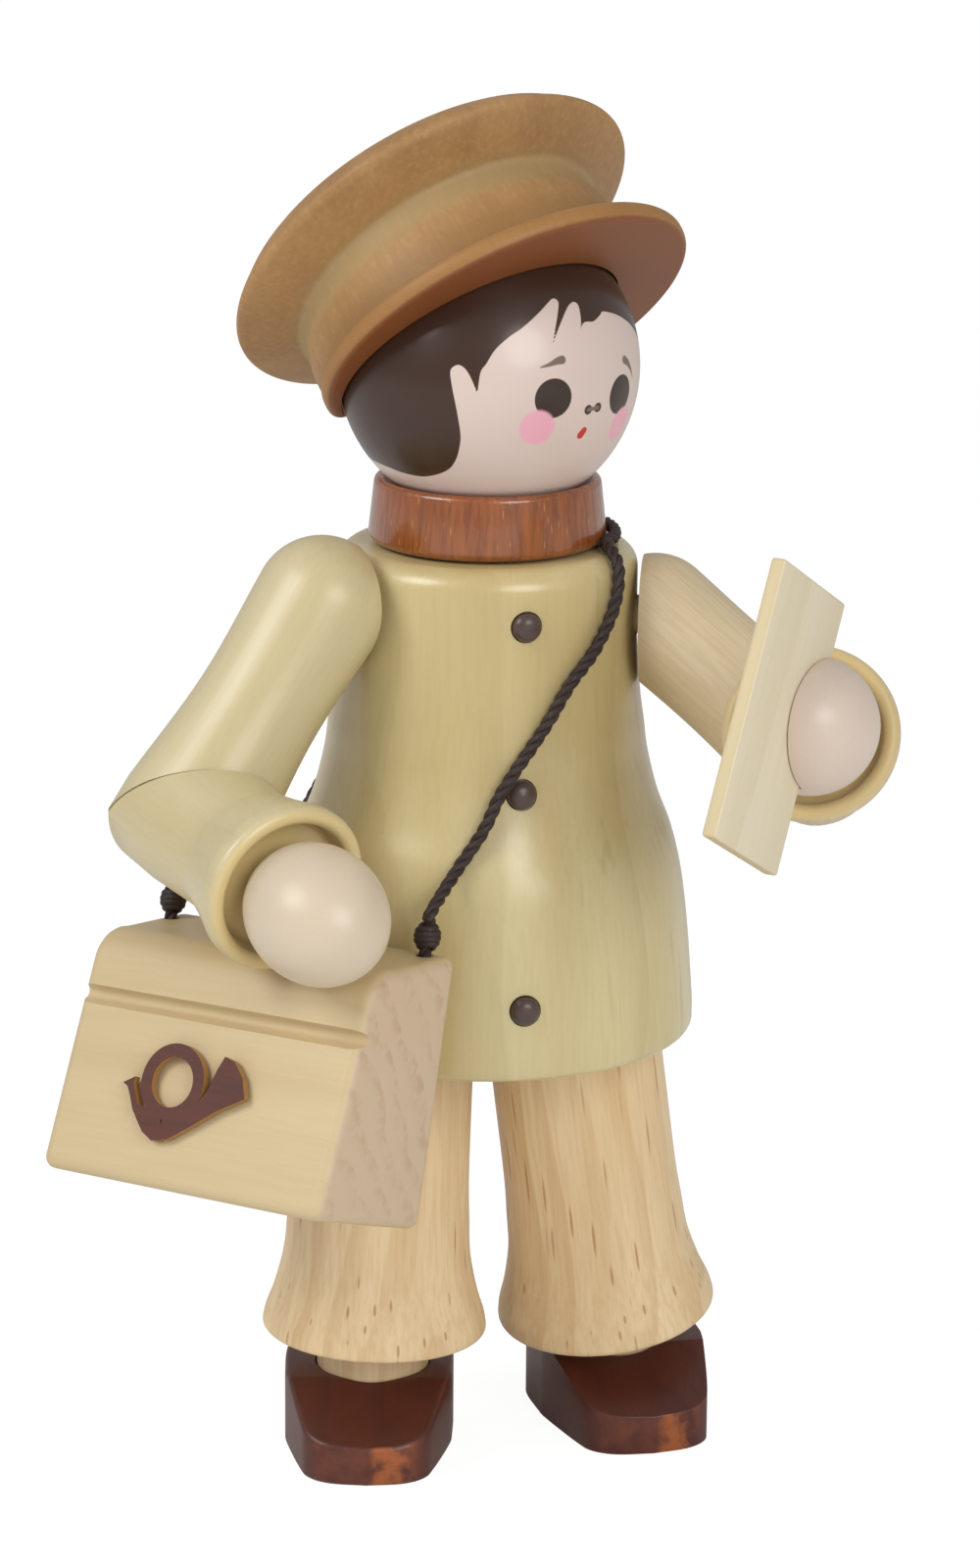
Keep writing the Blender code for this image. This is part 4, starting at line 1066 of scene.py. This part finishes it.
def wood(name, placing, light, dark, tone="#808080", toned=0.0, ring=1.7, rings=0.3, pith=(38.0, 17.0),
         fibre=0.2, fine=0.22, fleck=None, flecks=0.0, cell=(0.45, 3.0), more=None, roughness=0.35,
         coat=0.0, coat_roughness=0.2, bump=0.02, seed=0.0):
    grain = Grain(name, placing)
    slow = grain.noise(4.5, 32.0, seed + 7.0, 1.0)
    base = grain.tint(grain.ramp(slow, 0.38, 0.66, toned), colour(light), tone)
    grain.lines = grain.growth(ring, pith, seed)
    base = grain.tint(grain.times(grain.lines, 2.0 * rings), base, dark)
    fibres = grain.noise(fine, 18.0 * fine, seed, 4.0)
    base = grain.tint(grain.ramp(fibres, 0.38, 0.68, fibre), base, dark)
    if flecks:
        cells = grain.add("TexVoronoi", {}, {"Vector": grain.scaled(*cell), "Scale": 1.0})
        some = grain.ramp(cells.outputs["Color"], 0.4, 0.55)  # about half the cells
        base = grain.tint(grain.times(grain.ramp(cells, 0.24, 0.12, flecks), some), base, fleck)
    if more:
        base = more(grain, base)
    relief = grain.add("Bump", {}, {"Height": fibres, "Strength": 0.3, "Distance": bump * MM})
    return grain.surface(base, {"Roughness": roughness, "Coat Weight": coat, "Coat Roughness": coat_roughness,
                                "Normal": relief})


def finish_with(finish, *names):
    for name in names:
        piece = bpy.data.objects[name]
        piece.data.materials.clear()
        piece.data.materials.append(finish)
    print(finish.name, "has", len(finish.node_tree.nodes), "nodes, on", *names)


# %% [markdown]
# ## Coat, collar and pegs
# The coat is maple under a clear satin lacquer: the eye sees an even olive
# yellow, a few faint streaks on the figure's left, and two soft highlights.
# The collar is beech with a red-brown stain, under a glossy lacquer that
# breaks up on its short rays. The pale golden flecks on the rays are partly
# their own paler colour and partly painted glints of that lacquer. The pegs
# are bare beech.

# %% Coat, collar and pegs


def coat_streaks(grain, base):
    streak = grain.noise(0.6, 60.0, 12.0, 1.0)
    beside = grain.facing((0.8, -0.6, 0.0), 0.6, 0.95)
    return grain.tint(grain.times(beside, grain.ramp(streak, 0.58, 0.74, 0.3)), base, "#A07A46")


finish_with(wood("lacquered_maple_coat", upright, "#D3C492", "#A58850", tone="#C1A96E", toned=0.6, ring=3.2,
                 rings=0.13, fibre=0.1, more=coat_streaks, roughness=0.4, coat=0.7, coat_roughness=0.22,
                 bump=0.006), "turned_coat")
# Pale flecks on the rays: partly the rays' own colour, partly painted glints of the lacquer.
finish_with(wood("red_stained_beech_collar", upright, "#9A5422", "#5E2A10", ring=1.4, rings=0.25, fibre=0.5,
                 fleck="#B8854F", flecks=0.7, cell=(0.17, 1.3), roughness=0.35, coat=0.8, coat_roughness=0.12,
                 bump=0.09), "stained_collar")
finish_with(wood("bare_beech_pegs", upright, "#CDB68A", "#B89C68", roughness=0.6), "neck_peg",
            "right_shoulder_peg", "left_shoulder_peg")

# %% [markdown]
# ## Cap
# The cap is stained brown under a thin, almost matt lacquer. The stain is
# even and finely speckled on the crown, and darker towards the brim on the
# band below the cove. The pale band in the cove is a painted highlight. The
# brim is warmer, and its rim drank more stain; its darker underside is
# painted shade.

# %% Cap


def crown_stain_and_highlight(grain, base):
    speck = grain.noise(0.3, 0.45, 4.0, 2.0)
    base = grain.tint(grain.ramp(speck, 0.45, 0.75, 0.4), base, "#BC9460")
    height = grain.axis("Z")
    # Painted highlight: the cove is lightened where it catches the light.
    cove = grain.times(grain.ramp(height, 5.9, 5.3), grain.ramp(height, 3.7, 4.6, 0.6))
    base = grain.tint(cove, base, "#B09A6C")
    # The band is darker towards the brim.
    return grain.tint(grain.ramp(height, 3.8, 2.4, 0.6), base, "#8E6734")


def brim_stain_and_painted_shade(grain, base):
    axis = brim_placing.to_3x3().col[2]
    # The rim drank more stain.
    base = grain.tint(grain.times(grain.edges(axis, 0.85, 0.4), 0.6), base, "#9C682E")
    # Painted shade: the underside is darkened where the brim shades it.
    return grain.tint(grain.facing(axis, -0.5, -0.9), base, "#82481C")


finish_with(wood("brown_stained_crown", crown_placing, "#AF8552", "#8A643C", tone="#9A6E3E", toned=0.6,
                 ring=4.0, rings=0.15, fibre=0.25, fine=0.3, more=crown_stain_and_highlight, roughness=0.58, coat=0.06,
                 coat_roughness=0.4, bump=0.012), "crown_of_cap")
finish_with(wood("brown_stained_brim", brim_placing, "#A87F4B", "#86582F", ring=4.0, rings=0.15, fibre=0.2,
                 more=brim_stain_and_painted_shade, roughness=0.55, coat=0.08, coat_roughness=0.4, bump=0.012), "brim_of_cap")

# %% [markdown]
# ## Arms and hands
# The right arm is maple under the same satin lacquer as the coat. The left
# one was left matt, with fine grain that catches the light. The cuffs are
# end grain, which takes more lacquer and looks yellower. That yellow is laid
# on strongly, and lightest on the right cuff, as painted light that lifts
# the shaded dish. The hands are polished bare wood with a faint flesh tone
# and no grain to speak of.

# %% Arms and hands


def cuff_end_grain_and_light(axis, code):
    # End-grain yellow, laid on strongly as painted light that lifts the shaded dish.
    return lambda grain, base: grain.tint(grain.times(grain.facing(axis, 0.45, 0.9), 0.85), base, code)


# The right cuff's lighter yellow is painted light in its shaded dish.
for side, light, tone, cuff, skin, roughness, coat, bare in (
        ("right", "#D1C399", "#C4B384", "#DCC488", "#D6C5AC", 0.4, 0.5, {"fibre": 0.12, "bump": 0.006}),
        ("left", "#D5C29E", "#C9AE86", "#CDB478", "#D9C6B6", 0.55, 0.395,
         {"fibre": 0.3, "bump": 0.03, "fine": 0.16})):
    upper_axis, sleeve_axis, hand_axis = arm_axes[side]
    maple = {"roughness": roughness, "coat": coat, "coat_roughness": 0.35, "rings": 0.1, "ring": 3.0,
             "tone": tone, "toned": 0.6, **bare}
    finish_with(wood("maple_upper_arm_" + side, upper_axis, light, "#B39C68", seed=1.0, **maple),
                "upper_arm_" + side)
    finish_with(wood("maple_sleeve_" + side, sleeve_axis, light, "#B39C68", seed=2.0,
                     more=cuff_end_grain_and_light(sleeve_axis.to_3x3().col[2], cuff), **maple), "sleeve_" + side)
    finish_with(wood("polished_hand_" + side, hand_axis, skin, "#C9B59E", rings=0.0, fibre=0.08,
                     roughness=0.4, coat=0.2, coat_roughness=0.3, bump=0.0, seed=3.0), "hand_" + side)

# %% [markdown]
# ## Letter, satchel and horn
# The letter and the satchel are plain maple. The letter shows faint growth
# lines and darker edges. The satchel's front is almost blank, and its end
# shows the rings as broken brown lines, because end grain soaks up the
# lacquer. The horn is dark stained sheet with golden edges where it was cut.

# %% Letter, satchel and horn
SIDEWAYS, QUARTER = rotated(90.0, "Y"), rotated(90.0, "X")


def edges_of(placing, code):
    """Another colour on the edges of a thin sheet."""
    return lambda grain, base: grain.tint(grain.edges(placing.to_3x3().col[2], 0.8, 0.3), base, code)


def satchel_end(grain, base):
    end = grain.facing(satchel_placing.to_3x3().col[0], 0.55, 0.9)
    base = grain.tint(grain.times(end, 0.8), base, "#CCB499")
    rough = grain.noise(0.5, 0.5, 2.0)
    vein = grain.times(grain.times(grain.lines, 0.6), grain.ramp(rough, 0.38, 0.64))
    return grain.tint(grain.times(end, vein), base, "#AB7C5C")


finish_with(wood("plain_maple_letter", letter_placing @ QUARTER, "#E2D6BA", "#C9B384", ring=5.0, rings=0.2,
                 fibre=0.12, more=edges_of(letter_placing, "#D2C096"), roughness=0.5, bump=0.006),
            "letter_slip")
finish_with(wood("plain_maple_satchel", satchel_placing @ SIDEWAYS, "#D1BC92", "#B89C6E", tone="#C8AE82",
                 toned=0.5, ring=1.5, rings=0.08, pith=(-20.0, 26.0), fibre=0.12, more=satchel_end,
                 roughness=0.5, coat=0.1, coat_roughness=0.4, bump=0.01), "satchel_block")
finish_with(wood("stained_sheet_horn", horn_placing @ SIDEWAYS, "#5A2919", "#3E1C12", fibre=0.45,
                 more=edges_of(horn_placing, "#A0723A"), roughness=0.5, coat=0.15), "coiled_horn")

# %% [markdown]
# ## Trousers and shoes
# The trouser legs are waxed beech. Its rays show as thin brown dashes that
# run with the grain, one to three millimetres long. The shoes are stained a
# dark red-brown with a satin shine, and on the toe the end grain lets orange
# wood show through.

# %% Trousers and shoes


def worn_toe(placing):
    """Bare end grain in the stain of the toe."""
    def wear(grain, base):
        toe = grain.facing(-placing.to_3x3().col[1], 0.6, 0.9)
        spread = grain.noise(1.1, 1.1, 9.0, 3.0)
        base = grain.tint(grain.times(toe, grain.ramp(spread, 0.3, 0.7, 0.5)), base, "#7C3A1C")
        aside = grain.axis("X")
        patch = grain.times(grain.ramp(aside, 0.1, 0.5), grain.ramp(aside, 2.6, 1.6))
        bare = grain.times(grain.times(toe, patch), grain.ramp(spread, 0.35, 0.6, 0.8))
        return grain.tint(bare, base, "#A85A24")
    return wear


for side in SIDES:
    finish_with(wood("waxed_beech_leg_" + side, leg_placings[side], "#EBD2A8", "#C69D68", tone="#DCBC8C",
                     toned=0.6, ring=1.9, rings=0.3, fibre=0.3, fleck="#B07E50", flecks=0.75, cell=(0.4, 6.5),
                     roughness=0.5, coat=0.1, coat_roughness=0.4, bump=0.01, seed=4.0), "trouser_" + side)
    finish_with(wood("dark_stained_shoe_" + side, shoe_placings[side] @ QUARTER, "#501C0C", "#361008",
                     ring=2.0, rings=0.25, fibre=0.25, more=worn_toe(shoe_placings[side]),
                     roughness=0.5, coat=0.22, coat_roughness=0.14, bump=0.02, seed=5.0),
                "shoe_block_" + side)

# %% [markdown]
# ## Painted head
# Each layer of paint is cut out of its stored distance at zero, so its edge
# stays sharp at any size. Only the cheeks have a soft rim. Over the paint
# lies a satin varnish.

# %% Painted head
PAINTS = [("ink", "#36251B", 0.02), ("brows", "#77655C", 0.03), ("lips", "#C4281E", 0.03),
          ("blush", "#EBACBC", 0.1), ("hair", "#3B2418", 0.02)]


def head_paint():
    finish = Finish("satin_paint_head")
    base = colour("#D9C5BB")
    for name, code, edge in PAINTS:
        away = finish.add("Attribute", {"attribute_name": name}, {}).outputs["Fac"]
        base = finish.tint(finish.ramp(away, edge, -edge), base, code)
    return finish.surface(base, {"IOR": 1.4, "Roughness": 0.4, "Coat Weight": 0.3, "Coat Roughness": 0.18})


finish_with(head_paint(), "painted_head")

# %% [markdown]
# ## Buttons and cord
# The buttons are a paler brown than the hair, in the same kind of paint. The
# cord is waxed cotton: nearly black, with a paler bloom of wax in places.

# %% Buttons and cord


def waxed_cord():
    grain = Grain("waxed_cotton_cord", upright)
    bloom = grain.noise(0.12, 0.5, 1.0)
    base = grain.tint(grain.ramp(bloom, 0.5, 0.8, 0.6), colour("#2E1F1B"), "#5A463C")
    relief = grain.add("Bump", {}, {"Height": bloom, "Strength": 0.6, "Distance": 0.03 * MM})
    return grain.surface(base, {"Roughness": 0.6, "Normal": relief})


satin = {"Roughness": 0.38, "Coat Weight": 0.2}
finish_with(Finish("satin_paint_buttons").surface(colour("#4C3A34"), satin),
            *["button_dome_" + which for which in BUTTONS])
finish_with(waxed_cord(), "strap_cord", "knot_front", "knot_rear")

# %% [markdown]
# ## Floor and light
# Two round soft lights stand where the photo's highlights say: one far round
# to the figure's right, one near the camera. Floor and sky glow white for the
# camera alone, so the background is white and a faint shadow still shows.

# %% Floor and light
LIGHT_AIM = Vector((0.0, 0.0, 0.035))  # in metres, like the places and sizes of the lights
FLOOR_HALF = 1.5
WHITE = (1.0, 1.0, 1.0, 1.0)
GLOW, GLOW_SHARE, SKY_LIGHT = 1.1, 0.85, 0.45


def area_light(name, spot, size, power):
    lamp = bpy.data.objects.new(name, bpy.data.lights.new(name, "AREA"))
    lamp.data.shape, lamp.data.size, lamp.data.energy = "DISK", size, power
    lamp.matrix_world = frame_at(spot, Vector(spot) - LIGHT_AIM)
    scene.collection.objects.link(lamp)


area_light("side_light", (-0.36, -0.10, 0.34), 0.24, 0.97)
area_light("front_light", (0.12, -0.42, 0.24), 0.26, 0.9)

white = Finish("matt_white_floor")
seen = white.add("LightPath", {}, {}).outputs["Is Camera Ray"]
matt = white.add("BsdfDiffuse", {}, {"Color": colour("#F4F4F3")})
glow = white.add("Emission", {}, {"Color": WHITE, "Strength": GLOW})
floor_shape, floor_mesh = bmesh.new(), bpy.data.meshes.new("studio_floor")
bmesh.ops.create_grid(floor_shape, x_segments=1, y_segments=1, size=FLOOR_HALF)
floor_shape.to_mesh(floor_mesh)
floor_shape.free()
floor_mesh.materials.append(white.end(white.add("MixShader", {}, {
    0: white.times(seen, GLOW_SHARE), 1: matt, 2: glow})))
floor = bpy.data.objects.new("studio_floor", floor_mesh)
scene.collection.objects.link(floor)

sky = Finish("studio", "worlds")
eye = sky.add("LightPath", {}, {}).outputs["Is Camera Ray"]
level = sky.add("MapRange", {}, {"Value": eye, "To Min": SKY_LIGHT, "To Max": GLOW})
sky.nodes["Background"].inputs["Color"].default_value = WHITE
sky.link(level.outputs[0], sky.nodes["Background"].inputs["Strength"])
scene.world = sky.made
scene.view_settings.view_transform = "Standard"
